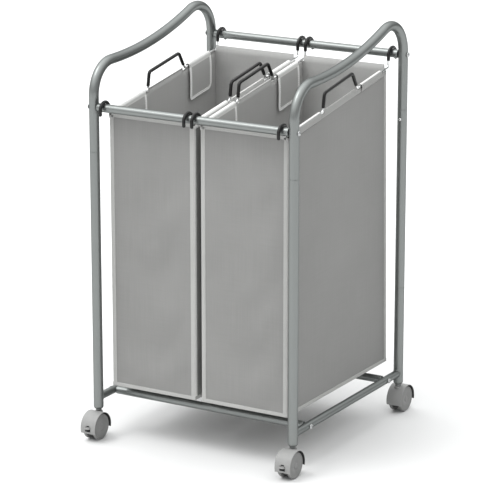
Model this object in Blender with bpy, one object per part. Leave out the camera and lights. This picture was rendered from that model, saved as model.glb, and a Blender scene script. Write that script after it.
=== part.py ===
"""Two-bag laundry sorter on four twin-wheel casters: metres, +Z up, front at -Y, floor at Z = 0."""

import math

import bmesh
import bpy
from mathutils import Matrix, Vector

# Overall size over the posts and up to the top of the handles.
HEIGHT = 0.800
FRAME_WIDTH = 0.451
FRAME_DEPTH = 0.446

# Tubes and wires.
POST_R = 0.0095
BAR_R = 0.008
RAIL_R = 0.0075
WALL = 0.0012
WIRE_R = 0.0022
COATED_R = 0.0033

# Heights of the frame's members.
FRONT_BAR_Z = 0.6557
REAR_BAR_Z = 0.7258
RAIL_Z = 0.0812
CROSS_RAIL_Y = 0.158
SOCKET_FOOT_Z = 0.0587
SOCKET_TOP_Z = 0.0800
SOCKET_TAPER = 0.0018
POST_FOOT_Z = 0.0633
FRONT_JOINT_Z = 0.570
REAR_JOINT_Z = 0.618

# The handle runs from post to post as a front bend, a long shallow dip and a rear bend.
HANDLE_BEND_R = 0.060
HANDLE_CLIMB = math.radians(20)
SPIGOT_R = 0.0080
SPIGOT_BORE_R = 0.0070
SPIGOT_LENGTH = 0.040

# Snap buttons in the spigots, and the domed screws.
BUTTON_DROP = 0.019
BUTTON_R = 0.0030
BUTTON_STAND = 0.0016
BUTTON_FLANGE_R = 0.0042
BUTTON_FLANGE_AT = 0.0040
BUTTON_FLANGE = 0.0010
SHANK_R = 0.0025
HEAD_R = 0.0050
HEAD_HEIGHT = 0.0032
HEAD_RIM = 0.0010
THREAD_DEPTH = 0.014
NUT_LENGTH = 0.020

# Casters, each hood and its wheels offset from the stem by the trail.
WHEEL_R = 0.0255
WHEEL_INNER_X = 0.0075
WHEEL_OUTER_X = 0.0140
WHEEL_FACE = 0.0012
TREAD_EDGE = 0.0008
HOOD_R = 0.0290
HOOD_BORE_R = 0.0267
HOOD_HALF_WIDTH = 0.0165
HOOD_SKIRT, HOOD_REAR_SKIRT = math.radians(17), math.radians(13)
TRAIL = 0.011
STEM_R = 0.0040
STEM_FOOT_Z = 0.0340
STEM_TOP_Z = 0.0795
STEM_COLLAR_R = 0.0055
STEM_PLUG_R = 0.0050
STEM_BEVEL = 0.0010
BOSS_R = 0.0077
BOSS_FOOT_Z = 0.0500
BOSS_TOP_Z = 0.0540
AXLE_R = 0.0025

# The hood's middle block, in depth and height from the axle.
CORE_HALF_WIDTH = 0.0070
HUB_HALF = 0.0065
CORE_FOOT_FAR, CORE_DROP = 0.0165, 0.0150
WEB_FAR = 0.0185
WEB_NEAR = 0.0035
WEB_FOOT = 0.0030
BRAKE_WEB_FAR = 0.0215
BRAKE_WEB_NEAR = 0.0145

# The brake lever, in depth and height from its pin; the pin is measured from the axle.
LEVER_HALF_WIDTH = 0.0055
LEVER_PIN_Y = -0.0165
LEVER_PIN_Z = 0.0008
LEVER_PIN_R = 0.0015
LEVER_REACH = 0.0180
LEVER_NOSE = 0.0160
LEVER_HEEL = 0.0025
LEVER_TOP = 0.0022
LEVER_UNDER = 0.0023
LEVER_TIP_UNDER = 0.0006
LEVER_SLOT_BACK = 0.0125
LEVER_SLOT_UNDER = 0.0045
LEVER_SLOT_TOP = 0.0063

# Bags hung on bent wires; the wires climb towards the rear.
WIRE_OUTER_X = 0.192
WIRE_INNER_X = 0.0086
WIRE_MID_Z = 0.6717
WIRE_SLOPE = 0.148
WIRE_BEND_R = 0.006
HOOK_R = 0.015
HOOK_TIP_DROP = 0.0103
FRONT_COATING_DROP = 0.0015
REAR_COATING_DROP = 0.0090
LOOP_FRONT = (-0.057, 0.697)
LOOP_REAR = (0.051, 0.715)
LOOP_FRONT_FOOT_Y = -0.063
LOOP_REAR_FOOT_Y = 0.0716
LOOP_BEND_R = 0.008
GRIP_START = 0.20
BAG_WALL = 0.0020
BAG_BOTTOM_Z = 0.104
BAG_FRONT_Y = -0.1955
BAG_FRONT_TOP_Z = 0.648
BAG_REAR_TOP_Y = 0.1880
BAG_REAR_TOP_Z = 0.7075
BAG_REAR_FOOT_Y = 0.2045
BAG_HEM = 0.020
SLEEVE_R = 0.0042
FRONT_SLEEVE_END_Y = -0.0765
REAR_SLEEVE_START_Y = 0.084
REAR_SLEEVE_END_Y = 0.163
SLEEVE_INSET = 0.001
NOTCH_REACH_IN = 0.006
NOTCH_HEIGHT = 0.050

# Running clearance between pieces that touch.
GAP = 0.0003
# Length of a step between two diameters, short enough to read as a shoulder.
STEP = 0.0002
# How far a cutter reaches past the wall that it cuts.
REACH = 0.004

TUBE_SIDES = 12
BAR_SIDES = 12
WIRE_SIDES = 6
WHEEL_SIDES = 18
HOOD_STEPS = 12
FASTENER_SIDES = 10
BEND_STEPS = 3

POST_X = FRAME_WIDTH / 2 - POST_R
POST_Y = FRAME_DEPTH / 2 - POST_R
HOOK_INNER_Y = POST_Y - HOOK_R
# The levers reach further forwards than the rear hoods do backwards, so the frame sits this far behind
# the middle of the whole depth, where the origin is.
FRAME_Y = (LEVER_REACH - LEVER_PIN_Y - HOOD_R) / 2

ROOT = "laundry_sorter"
CORNERS = (
    ("front_left", -1, -1),
    ("front_right", 1, -1),
    ("rear_left", -1, 1),
    ("rear_right", 1, 1),
)
SIDES = (("left", -1), ("right", 1))


def clear_scene():
    for obj in list(bpy.data.objects):
        bpy.data.objects.remove(obj, do_unlink=True)


def principled(name, color, roughness, metallic):
    """A plain Principled material."""
    made = bpy.data.materials.new(name)
    made.use_nodes = True
    shader = made.node_tree.nodes["Principled BSDF"]
    shader.inputs["Base Color"].default_value = (*color, 1.0)
    shader.inputs["Roughness"].default_value = roughness
    shader.inputs["Metallic"].default_value = metallic
    return made


def empty(name, location, parent=None):
    """An empty for other objects to be parented to, such as one on a joint's axis."""
    made = bpy.data.objects.new(name, None)
    made.empty_display_size = 0.02
    bpy.context.scene.collection.objects.link(made)
    made.location = location
    made.parent = parent
    return made


def add_object(name, bm, material=None, location=(0, 0, 0), parent=None):
    """Turns a bmesh into a smooth-shaded object, under the whole sorter unless a parent is given."""
    bmesh.ops.recalc_face_normals(bm, faces=bm.faces)
    mesh = bpy.data.meshes.new(name)
    bm.to_mesh(mesh)
    bm.free()
    mesh.shade_smooth()
    mesh.set_sharp_from_angle(angle=math.radians(35))
    obj = bpy.data.objects.new(name, mesh)
    bpy.context.scene.collection.objects.link(obj)
    obj.location = location
    obj.parent = parent or bpy.data.objects[ROOT]
    if material:
        mesh.materials.append(material)
    return obj


def cut(obj, cutter, operation="DIFFERENCE", solver="EXACT"):
    """Booleans a helper into an object; the helper itself stays out of the model."""
    cutter.hide_render = True
    cutter.display_type = "WIRE"
    modifier = obj.modifiers.new(cutter.name, "BOOLEAN")
    modifier.operation = operation
    modifier.solver = solver
    modifier.object = cutter


def bridge(bm, first, second):
    """Quads between two rings of the same length."""
    count = len(first)
    for i in range(count):
        j = (i + 1) % count
        bm.faces.new((first[i], first[j], second[j], second[i]))


def ring(bm, centre, side, up, radius, sides, turn=0.0):
    """A circle of vertices; turn is in steps from a vertex towards side."""
    made = []
    for i in range(sides):
        angle = 2 * math.pi * (i + turn) / sides
        made.append(bm.verts.new(centre + radius * (side * math.cos(angle) + up * math.sin(angle))))
    return made


def sweep(stations, sides, side_hint=(1, 0, 0)):
    """A tube or rod along a path in one plane: stations are (point, outer radius, bore radius or 0)."""
    bm = bmesh.new()
    side = Vector(side_hint)
    points = [Vector(point) for point, _, _ in stations]
    outer, inner = [], []
    for i, (_, radius, bore) in enumerate(stations):
        before = points[max(i - 1, 0)]
        after = points[min(i + 1, len(points) - 1)]
        up = side.cross((after - before).normalized())
        outer.append(ring(bm, points[i], side, up, radius, sides))
        if bore:
            inner.append(ring(bm, points[i], side, up, bore, sides))
    for rings in (outer, inner):
        for first, second in zip(rings, rings[1:]):
            bridge(bm, first, second)
    if inner:
        bridge(bm, outer[0], inner[0])
        bridge(bm, outer[-1], inner[-1])
    else:
        bm.faces.new(outer[0])
        bm.faces.new(outer[-1])
    return bm


def turned(profile, sides, closed=False, turn=0.0):
    """A solid turned about Z from (radius, z) points; an open profile starts and ends on the axis."""
    bm = bmesh.new()
    side, up = Vector((1, 0, 0)), Vector((0, 1, 0))
    rings = []
    for radius, z in profile:
        centre = Vector((0, 0, z))
        rings.append(ring(bm, centre, side, up, radius, sides, turn) if radius else [bm.verts.new(centre)])
    pairs = list(zip(rings, rings[1:]))
    if closed:
        pairs.append((rings[-1], rings[0]))
    for first, second in pairs:
        if len(first) == 1 or len(second) == 1:
            tip, rim = (first, second) if len(first) == 1 else (second, first)
            for i in range(sides):
                bm.faces.new((tip[0], rim[i], rim[(i + 1) % sides]))
        else:
            bridge(bm, first, second)
    return bm


def dome(radius, foot, height):
    """Profile of a domed end, from its rim up to its crown on the axis."""
    angles = (0, math.pi / 6, math.pi / 3)
    return [(radius * math.cos(a), foot + height * math.sin(a)) for a in angles] + [(0, foot + height)]


def along(bm, axis):
    """Turns a solid made about Z so that its axis points along the given direction."""
    turn = Vector((0, 0, 1)).rotation_difference(Vector(axis)).to_matrix()
    bmesh.ops.rotate(bm, verts=bm.verts, matrix=turn, cent=(0, 0, 0))
    return bm


def rod(start, end, radius, sides=FASTENER_SIDES):
    """A solid cylinder between two points."""
    start, end = Vector(start), Vector(end)
    half = (end - start).length / 2
    bm = turned([(0, -half), (radius, -half), (radius, half), (0, half)], sides)
    along(bm, (end - start).normalized())
    bmesh.ops.translate(bm, verts=bm.verts, vec=(start + end) / 2)
    return bm


def block(low, high):
    """A box between two opposite corners."""
    low, high = Vector(low), Vector(high)
    bm = bmesh.new()
    place = Matrix.Translation((low + high) / 2) @ Matrix.Diagonal((*(high - low), 1))
    bmesh.ops.create_cube(bm, size=1, matrix=place)
    return bm


def prism(outline, half_width):
    """An outline in the YZ plane, extruded along X to both sides."""
    bm = bmesh.new()
    left = [bm.verts.new((-half_width, y, z)) for y, z in outline]
    right = [bm.verts.new((half_width, y, z)) for y, z in outline]
    bridge(bm, left, right)
    bm.faces.new(left)
    bm.faces.new(right)
    return bm


def arc(centre, radius, start, end, steps):
    """Points on a circle in the YZ plane, from one angle to another."""
    made = []
    for i in range(steps + 1):
        angle = start + (end - start) * i / steps
        made.append((centre[0] + radius * math.cos(angle), centre[1] + radius * math.sin(angle)))
    return made


def rounded(corners):
    """A path in the YZ plane through (y, z, bend radius) corners, each corner rounded by its radius."""
    path = [Vector(corners[0][:2])]
    for i in range(1, len(corners) - 1):
        before, here, after = (Vector(corners[k][:2]) for k in (i - 1, i, i + 1))
        arriving, leaving = (here - before).normalized(), (after - here).normalized()
        turn = arriving.angle_signed(leaving)
        radius = corners[i][2]
        start = here - arriving * radius * math.tan(abs(turn) / 2)
        inward = Vector((-arriving.y, arriving.x)) * (-1 if turn > 0 else 1)
        centre = start + inward * radius
        for k in range(BEND_STEPS + 1):
            spoke = start - centre
            spoke.rotate(Matrix.Rotation(-turn * k / BEND_STEPS, 2))
            if (centre + spoke - path[-1]).length > STEP:
                path.append(centre + spoke)
    path.append(Vector(corners[-1][:2]))
    return path


def stations_on(path, x, radius, bore=0):
    """Stations for sweep on a YZ path at one x."""
    return [((x, point[0], point[1]), radius, bore) for point in path]


def wire_z(y):
    """Height of a bag wire's straight run at this depth."""
    return WIRE_MID_Z + WIRE_SLOPE * y


# ---------------------------------------------------------------- frame


def handle_path():
    """The handle's centreline above its two joints, front to rear, as (y, z)."""
    peak_z = HEIGHT - POST_R
    span = 2 * (POST_Y - HANDLE_BEND_R) - HANDLE_BEND_R * math.sin(HANDLE_CLIMB)
    dip_r = span / math.sin(HANDLE_CLIMB)
    level_z = peak_z - (dip_r + HANDLE_BEND_R) * (1 - math.cos(HANDLE_CLIMB))
    front_bend = (-POST_Y + HANDLE_BEND_R, level_z - HANDLE_BEND_R)
    rear_bend = (POST_Y - HANDLE_BEND_R, peak_z - HANDLE_BEND_R)
    path = arc(front_bend, HANDLE_BEND_R, math.pi, math.pi / 2, 6)
    path += arc((front_bend[0], level_z + dip_r), dip_r, -math.pi / 2, HANDLE_CLIMB - math.pi / 2, 5)[1:]
    path += arc(rear_bend, HANDLE_BEND_R, math.pi / 2 + HANDLE_CLIMB, math.pi / 2, 2)[1:]
    path += arc(rear_bend, HANDLE_BEND_R, math.pi / 2, 0, 6)[1:]
    return path


def spigot_stations(x, y, joint_z):
    """The swaged end that plugs into a post, from its tip up to full diameter."""
    tip = joint_z - SPIGOT_LENGTH
    return [
        ((x, y, tip), SPIGOT_R, SPIGOT_BORE_R),
        ((x, y, joint_z + GAP - STEP), SPIGOT_R, SPIGOT_BORE_R),
        ((x, y, joint_z + GAP), POST_R, SPIGOT_BORE_R),
        ((x, y, joint_z + GAP + WALL), POST_R, POST_R - WALL),
    ]


def button_place(side_x, side_y):
    """Centre of a snap button on its post's axis, and the way it faces: towards the other post."""
    joint_z = FRONT_JOINT_Z if side_y < 0 else REAR_JOINT_Z
    return Vector((side_x * POST_X, side_y * POST_Y, joint_z - BUTTON_DROP)), Vector((0, -side_y, 0))


def button_hole(side_x, side_y):
    """Cutter for a snap button's hole, through one wall of the tube only."""
    centre, facing = button_place(side_x, side_y)
    return rod(centre + facing * STEM_R, centre + facing * (POST_R + REACH), BUTTON_R + GAP)


def make_handle(name, side_x, material):
    x = side_x * POST_X
    stations = spigot_stations(x, -POST_Y, FRONT_JOINT_Z)
    stations += stations_on(handle_path(), x, POST_R, POST_R - WALL)
    stations += reversed(spigot_stations(x, POST_Y, REAR_JOINT_Z))
    handle = add_object(name, sweep(stations, TUBE_SIDES), material)
    reach = POST_R + REACH
    for side_y, bar_z in ((-1, FRONT_BAR_Z), (1, REAR_BAR_Z)):
        y = side_y * POST_Y
        hole = rod((x - reach, y, bar_z), (x + reach, y, bar_z), SHANK_R + GAP)
        cut(handle, add_object(f"{name}_screw_hole_{side_y}", hole))
        cut(handle, add_object(f"{name}_button_hole_{side_y}", button_hole(side_x, side_y)))


def make_post(corner, side_x, side_y, material):
    joint_z = FRONT_JOINT_Z if side_y < 0 else REAR_JOINT_Z
    x, y = side_x * POST_X, side_y * POST_Y
    bore = POST_R - WALL
    stations = [((x, y, POST_FOOT_Z), POST_R, bore), ((x, y, joint_z), POST_R, bore)]
    post = add_object(f"{corner}_post", sweep(stations, TUBE_SIDES), material)
    cut(post, add_object(f"{corner}_post_button_hole", button_hole(side_x, side_y)))


def make_snap_button(corner, side_x, side_y, material):
    """A domed pin with a flat flange inside the spigot, its origin on the post's axis."""
    centre, facing = button_place(side_x, side_y)
    flange_top = BUTTON_FLANGE_AT + BUTTON_FLANGE
    profile = [
        (0, BUTTON_FLANGE_AT),
        (BUTTON_FLANGE_R, BUTTON_FLANGE_AT),
        (BUTTON_FLANGE_R, flange_top),
        (BUTTON_R, flange_top),
        *dome(BUTTON_R, POST_R, BUTTON_STAND),
    ]
    add_object(f"{corner}_snap_button", along(turned(profile, FASTENER_SIDES), facing), material, centre)


def make_socket(corner, side_x, side_y, material):
    """The insert in a post's foot that takes the caster's stem."""
    bore = STEM_PLUG_R + GAP
    inner = POST_R - WALL - GAP
    lip_top = POST_FOOT_Z - GAP
    profile = [
        (bore, SOCKET_FOOT_Z),
        (POST_R - SOCKET_TAPER, SOCKET_FOOT_Z),
        (POST_R, SOCKET_FOOT_Z + 2 * SOCKET_TAPER),
        (POST_R, lip_top),
        (inner, lip_top),
        (inner, SOCKET_TOP_Z),
        (bore, SOCKET_TOP_Z),
    ]
    location = (side_x * POST_X, side_y * POST_Y, 0)
    add_object(f"{corner}_foot_socket", turned(profile, TUBE_SIDES, closed=True), material, location)


def make_side_rail(name, side_x, material):
    """A rail along the depth, its ends coped round the posts, drilled for the cross rails' bolts."""
    x = side_x * POST_X
    bore = RAIL_R - WALL
    ends = [((x, -POST_Y, RAIL_Z), RAIL_R, bore), ((x, POST_Y, RAIL_Z), RAIL_R, bore)]
    rail = add_object(name, sweep(ends, BAR_SIDES), material)
    for side_y in (-1, 1):
        y = side_y * POST_Y
        cope = rod((x, y, RAIL_Z - 2 * POST_R), (x, y, RAIL_Z + 2 * POST_R), POST_R + GAP, 2 * TUBE_SIDES)
        cut(rail, add_object(f"{name}_cope_{side_y}", cope))
        y = side_y * CROSS_RAIL_Y
        hole = rod((x - RAIL_R - REACH, y, RAIL_Z), (x + RAIL_R + REACH, y, RAIL_Z), SHANK_R + GAP)
        cut(rail, add_object(f"{name}_bolt_hole_{side_y}", hole))


def make_crossbar(name, y, z, radius, neighbour_r, material):
    """A tube along the width with a threaded nut formed in each end."""
    half = POST_X - neighbour_r - GAP
    nut_end = half - NUT_LENGTH
    thread, bore = SHANK_R + GAP, radius - WALL
    holes = ((-half, thread), (-nut_end, thread), (-nut_end + STEP, bore))
    stations = [((x, y, z), radius, hole) for x, hole in holes]
    stations += [((-x, y, z), radius, hole) for x, hole in reversed(holes)]
    add_object(name, sweep(stations, BAR_SIDES, side_hint=(0, 1, 0)), material)


def make_screw(name, side_x, y, z, neighbour_r, material):
    """A domed screw driven inwards along X, from a post or a rail into a crossbar's end."""
    under_head = neighbour_r + GAP
    profile = [
        (0, -neighbour_r - THREAD_DEPTH),
        (SHANK_R, -neighbour_r - THREAD_DEPTH),
        (SHANK_R, under_head),
        (HEAD_R, under_head),
        *dome(HEAD_R, under_head + HEAD_RIM, HEAD_HEIGHT - HEAD_RIM),
    ]
    solid = along(turned(profile, FASTENER_SIDES), (side_x, 0, 0))
    add_object(name, solid, material, (side_x * POST_X, y, z))


def make_frame(paint, plated):
    for side, side_x in SIDES:
        make_handle(f"{side}_handle", side_x, paint)
        make_side_rail(f"{side}_side_rail", side_x, paint)
    for end, side_y, bar_z in (("front", -1, FRONT_BAR_Z), ("rear", 1, REAR_BAR_Z)):
        make_crossbar(f"{end}_top_bar", side_y * POST_Y, bar_z, BAR_R, POST_R, paint)
        make_crossbar(f"{end}_cross_rail", side_y * CROSS_RAIL_Y, RAIL_Z, RAIL_R, RAIL_R, paint)
        for side, side_x in SIDES:
            make_screw(f"{end}_{side}_bar_screw", side_x, side_y * POST_Y, bar_z, POST_R, plated)
            make_screw(f"{end}_{side}_rail_bolt", side_x, side_y * CROSS_RAIL_Y, RAIL_Z, RAIL_R, plated)
    for corner, side_x, side_y in CORNERS:
        make_post(corner, side_x, side_y, paint)
        make_socket(corner, side_x, side_y, paint)
        make_snap_button(corner, side_x, side_y, plated)


# ---------------------------------------------------------------- casters


def core_outline(stem_side, braked):
    """The hood's middle block in YZ about the axle: it carries the stem, the axle and any brake lever."""
    wall_r = (HOOD_R + HOOD_BORE_R) / 2

    def on_wall(y):
        return stem_side * y, math.sqrt(wall_r**2 - y**2)

    far = BRAKE_WEB_FAR if braked else HUB_HALF
    points = [
        (-stem_side * far, -HUB_HALF),
        (-stem_side * min(far, CORE_FOOT_FAR), -CORE_DROP),
        (stem_side * (HUB_HALF if braked else CORE_FOOT_FAR), -CORE_DROP),
        (stem_side * WEB_FAR, WEB_FOOT),
    ]
    points += [on_wall(y) for y in (WEB_FAR, TRAIL, WEB_NEAR, -HUB_HALF)]
    if braked:
        points += [on_wall(-BRAKE_WEB_NEAR), on_wall(-BRAKE_WEB_FAR)]
    return points


def make_hood(name, swivel, offset, stem_side, braked, material):
    """The hood over both wheels, with the boss for the stem; its origin is on the axle."""
    rear, front = -HOOD_REAR_SKIRT, math.pi + HOOD_SKIRT
    shell = arc((0, 0), HOOD_R, rear, front, HOOD_STEPS) + arc((0, 0), HOOD_BORE_R, front, rear, HOOD_STEPS)
    place = Vector((0, offset, WHEEL_R))
    hood = add_object(name, prism(shell, HOOD_HALF_WIDTH), material, place, swivel)

    def helper(label, bm, operation="DIFFERENCE"):
        cut(hood, add_object(f"{name}_{label}", bm, None, place, swivel), operation)

    foot, top = BOSS_FOOT_Z - WHEEL_R, BOSS_TOP_Z - WHEEL_R
    bore_foot = STEM_FOOT_Z - GAP - WHEEL_R
    reach = CORE_HALF_WIDTH + REACH
    helper("core", prism(core_outline(stem_side, braked), CORE_HALF_WIDTH), "UNION")
    helper("boss", rod((0, -offset, foot), (0, -offset, top), BOSS_R, TUBE_SIDES), "UNION")
    helper("stem_bore", rod((0, -offset, bore_foot), (0, -offset, top + REACH), STEM_R + GAP))
    helper("axle_bore", rod((-reach, 0, 0), (reach, 0, 0), AXLE_R + GAP))
    if braked:
        slot = LEVER_HALF_WIDTH + GAP
        low = (-slot, -HOOD_R - REACH, -LEVER_SLOT_UNDER)
        helper("lever_slot", block(low, (slot, -LEVER_SLOT_BACK, LEVER_SLOT_TOP)))
        start, end = (-reach, LEVER_PIN_Y, LEVER_PIN_Z), (reach, LEVER_PIN_Y, LEVER_PIN_Z)
        helper("pivot_bore", rod(start, end, LEVER_PIN_R + GAP))


def make_lever(name, swivel, offset, material):
    """The brake lever: a tab through the hood's slot on a cross pin, its origin on the pin."""
    place = Vector((0, offset + LEVER_PIN_Y, WHEEL_R + LEVER_PIN_Z))
    tab = [
        (-LEVER_REACH, LEVER_TOP),
        (-LEVER_REACH, -LEVER_TIP_UNDER),
        (-LEVER_NOSE, -LEVER_UNDER),
        (LEVER_HEEL, -LEVER_UNDER),
        (LEVER_HEEL, LEVER_TOP),
    ]
    lever = add_object(name, prism(tab, LEVER_HALF_WIDTH), material, place, swivel)
    pin_half = CORE_HALF_WIDTH - STEP
    pin = rod((-pin_half, 0, 0), (pin_half, 0, 0), LEVER_PIN_R)
    cut(lever, add_object(f"{name}_pin", pin, None, place, swivel), "UNION")


def make_wheel(name, swivel, offset, side, material):
    """One of the two wheels, its origin on the axle. A facet of its tread meets the floor."""
    tread_r = WHEEL_R / math.cos(math.pi / WHEEL_SIDES)
    bore_end = WHEEL_OUTER_X - WHEEL_FACE
    profile = [
        (0, WHEEL_OUTER_X),
        (tread_r - TREAD_EDGE, WHEEL_OUTER_X),
        (tread_r, WHEEL_OUTER_X - TREAD_EDGE),
        (tread_r, WHEEL_INNER_X + TREAD_EDGE),
        (tread_r - TREAD_EDGE, WHEEL_INNER_X),
        (AXLE_R + GAP, WHEEL_INNER_X),
        (AXLE_R + GAP, bore_end),
        (0, bore_end),
    ]
    bm = turned(profile, WHEEL_SIDES, turn=0.5)
    quarter = Matrix.Rotation(side * math.pi / 2, 3, "Y")
    bmesh.ops.rotate(bm, verts=bm.verts, matrix=quarter, cent=(0, 0, 0))
    add_object(name, bm, material, (0, offset, WHEEL_R), swivel)


def make_caster(corner, side_x, side_y, plastic, plated):
    """A twin-wheel caster. Both ends' hoods face forwards; only the front pair has brake levers."""
    braked = side_y < 0
    offset = side_y * TRAIL
    name = f"{corner}_caster"
    stem_place = (side_x * POST_X, side_y * POST_Y, 0)
    collar_foot, collar_top = BOSS_TOP_Z + GAP, SOCKET_FOOT_Z - GAP
    stem = [
        (0, STEM_FOOT_Z),
        (STEM_R, STEM_FOOT_Z),
        (STEM_R, collar_foot),
        (STEM_COLLAR_R, collar_foot),
        (STEM_COLLAR_R, collar_top),
        (STEM_PLUG_R, collar_top),
        (STEM_PLUG_R, STEM_TOP_Z - STEM_BEVEL),
        (STEM_PLUG_R - STEM_BEVEL, STEM_TOP_Z),
        (0, STEM_TOP_Z),
    ]
    add_object(f"{name}_stem", turned(stem, FASTENER_SIDES), plated, stem_place)
    swivel = empty(f"{name}_swivel", stem_place, bpy.data.objects[ROOT])
    make_hood(f"{name}_hood", swivel, offset, -side_y, braked, plastic)
    axle_half = WHEEL_OUTER_X - WHEEL_FACE - GAP
    axle = rod((-axle_half, 0, 0), (axle_half, 0, 0), AXLE_R)
    add_object(f"{name}_axle", axle, plated, (0, offset, WHEEL_R), swivel)
    for side, sign in SIDES:
        make_wheel(f"{name}_{side}_wheel", swivel, offset, sign, plastic)
    if braked:
        make_lever(f"{corner}_brake_lever", swivel, offset, plastic)


# ---------------------------------------------------------------- bags


def hook_centre_z(bar_z):
    """Centre of a hook's bend when its coated wire rests on the bar."""
    return bar_z + BAR_R + GAP + COATED_R - HOOK_R


def hook_path(side_y, bar_z, coating_drop):
    """A coated hook over a crossbar, from its free tip down to where its inner leg's coating ends."""
    centre_z = hook_centre_z(bar_z)
    outer_y, inner_y = side_y * (POST_Y + HOOK_R), side_y * HOOK_INNER_Y
    top_z = centre_z + HOOK_R
    corners = [
        (outer_y, centre_z - HOOK_TIP_DROP, 0),
        (outer_y, top_z, HOOK_R),
        (inner_y, top_z, HOOK_R),
        (inner_y, centre_z - coating_drop, 0),
    ]
    return rounded(corners)


def carry_corners():
    """The raised carry loop's corners: two feet on the wire's straight run and the two ends of the grip."""
    return [
        (LOOP_FRONT_FOOT_Y, wire_z(LOOP_FRONT_FOOT_Y), WIRE_BEND_R),
        (*LOOP_FRONT, LOOP_BEND_R),
        (*LOOP_REAR, LOOP_BEND_R),
        (LOOP_REAR_FOOT_Y, wire_z(LOOP_REAR_FOOT_Y), WIRE_BEND_R),
    ]


def wire_stations(x):
    """One wire from hook to hook. The dipped coating makes both hooks thicker."""
    front = hook_path(-1, FRONT_BAR_Z, FRONT_COATING_DROP)
    rear = hook_path(1, REAR_BAR_Z, REAR_COATING_DROP)
    corners = [
        (front[-1].x, front[-1].y - STEP, 0),
        (-HOOK_INNER_Y, wire_z(-HOOK_INNER_Y), WIRE_BEND_R),
        *carry_corners(),
        (HOOK_INNER_Y, wire_z(HOOK_INNER_Y), WIRE_BEND_R),
        (rear[-1].x, rear[-1].y - STEP, 0),
    ]
    stations = stations_on(front, x, COATED_R)
    stations += stations_on(rounded(corners), x, WIRE_R)
    stations += stations_on(reversed(rear), x, COATED_R)
    return stations


def grip_stations(x):
    """The sleeve on the carry loop, between its two feet."""
    front, front_top, rear_top, rear = carry_corners()
    front_start = Vector(front[:2]).lerp(Vector(front_top[:2]), GRIP_START)
    rear_start = Vector(rear[:2]).lerp(Vector(rear_top[:2]), GRIP_START)
    path = rounded([(*front_start, 0), front_top, rear_top, (*rear_start, 0)])
    return stations_on(path, x, COATED_R, WIRE_R + GAP)


def bag_shell(low_x, high_x):
    """An open box with a sloping top and a rear wall that leans back towards its foot."""
    bm = bmesh.new()
    layers = []
    for inset in (0, BAG_WALL):
        foot_z = BAG_BOTTOM_Z + inset
        front, rear_foot, rear_top = BAG_FRONT_Y + inset, BAG_REAR_FOOT_Y - inset, BAG_REAR_TOP_Y - inset
        left, right = low_x + inset, high_x - inset
        foot = [(left, front), (right, front), (right, rear_foot), (left, rear_foot)]
        top = [(left, front), (right, front), (right, rear_top), (left, rear_top)]
        foot_ring = [bm.verts.new((x, y, foot_z)) for x, y in foot]
        top_ring = [bm.verts.new((x, y, wire_z(y))) for x, y in top]
        bridge(bm, foot_ring, top_ring)
        bm.faces.new(foot_ring)
        layers.append(top_ring)
    bridge(bm, *layers)
    return bm


def make_bag(name, wires_x, material):
    """A bag whose side walls end in two sleeves round each wire, with its corners notched for the wires."""
    low_x, high_x = min(wires_x) - BAG_WALL / 2, max(wires_x) + BAG_WALL / 2
    bag = add_object(name, bag_shell(low_x, high_x), material)

    def helper(label, bm, operation="DIFFERENCE"):
        cut(bag, add_object(f"{name}_{label}", bm), operation, "MANIFOLD")

    notch = SLEEVE_R + GAP
    hem_front, hem_rear = BAG_FRONT_Y + STEP, BAG_REAR_TOP_Y - BAG_WALL + STEP
    for end, y, top_z in (("front", hem_front, BAG_FRONT_TOP_Z), ("rear", hem_rear, BAG_REAR_TOP_Z)):
        low, high = (low_x + notch, y, top_z - BAG_HEM), (high_x - notch, y + BAG_WALL - 3 * STEP, top_z)
        helper(f"{end}_hem", block(low, high), "UNION")
    sleeves = (
        ("front", BAG_FRONT_Y + SLEEVE_INSET, FRONT_SLEEVE_END_Y),
        ("rear", REAR_SLEEVE_START_Y, REAR_SLEEVE_END_Y),
    )
    notches = (
        ("front", BAG_FRONT_Y - REACH, BAG_FRONT_Y + NOTCH_REACH_IN, wire_z(-HOOK_INNER_Y)),
        ("rear", BAG_REAR_TOP_Y - NOTCH_REACH_IN, HOOK_INNER_Y + REACH, wire_z(HOOK_INNER_Y)),
    )
    for index, x in enumerate(wires_x):
        for end, start, stop in sleeves:
            sleeve = rod((x, start, wire_z(start)), (x, stop, wire_z(stop)), SLEEVE_R)
            helper(f"{end}_sleeve_{index}", sleeve, "UNION")
        start, end = (x, -HOOK_INNER_Y, wire_z(-HOOK_INNER_Y)), (x, HOOK_INNER_Y, wire_z(HOOK_INNER_Y))
        helper(f"wire_bore_{index}", rod(start, end, WIRE_R + 2 * GAP))
        for end, low_y, high_y, z in notches:
            low = (x - notch, low_y, z - notch)
            helper(f"{end}_notch_{index}", block(low, (x + notch, high_y, low[2] + NOTCH_HEIGHT)))


def make_bags(fabric, plated, vinyl):
    for bag_side, sign in SIDES:
        wires_x = (sign * WIRE_INNER_X, sign * WIRE_OUTER_X)
        make_bag(f"{bag_side}_bag", wires_x, fabric)
        for (wire_side, _), x in zip(SIDES, sorted(wires_x)):
            name = f"{bag_side}_bag_{wire_side}"
            add_object(f"{name}_wire", sweep(wire_stations(x), WIRE_SIDES), plated)
            add_object(f"{name}_grip", sweep(grip_stations(x), WIRE_SIDES), vinyl)


def main():
    clear_scene()
    empty(ROOT, (0, FRAME_Y, 0))
    paint = principled("silver_paint", (0.27, 0.29, 0.28), 0.38, 0.35)
    plated = principled("bright_plating", (0.75, 0.76, 0.76), 0.22, 1.0)
    plastic = principled("grey_plastic", (0.40, 0.40, 0.40), 0.5, 0.0)
    fabric = principled("grey_fabric", (0.33, 0.33, 0.32), 0.9, 0.0)
    vinyl = principled("black_vinyl", (0.015, 0.015, 0.015), 0.35, 0.0)
    make_frame(paint, plated)
    for corner, side_x, side_y in CORNERS:
        make_caster(corner, side_x, side_y, plastic, plated)
    make_bags(fabric, plated, vinyl)


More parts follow.
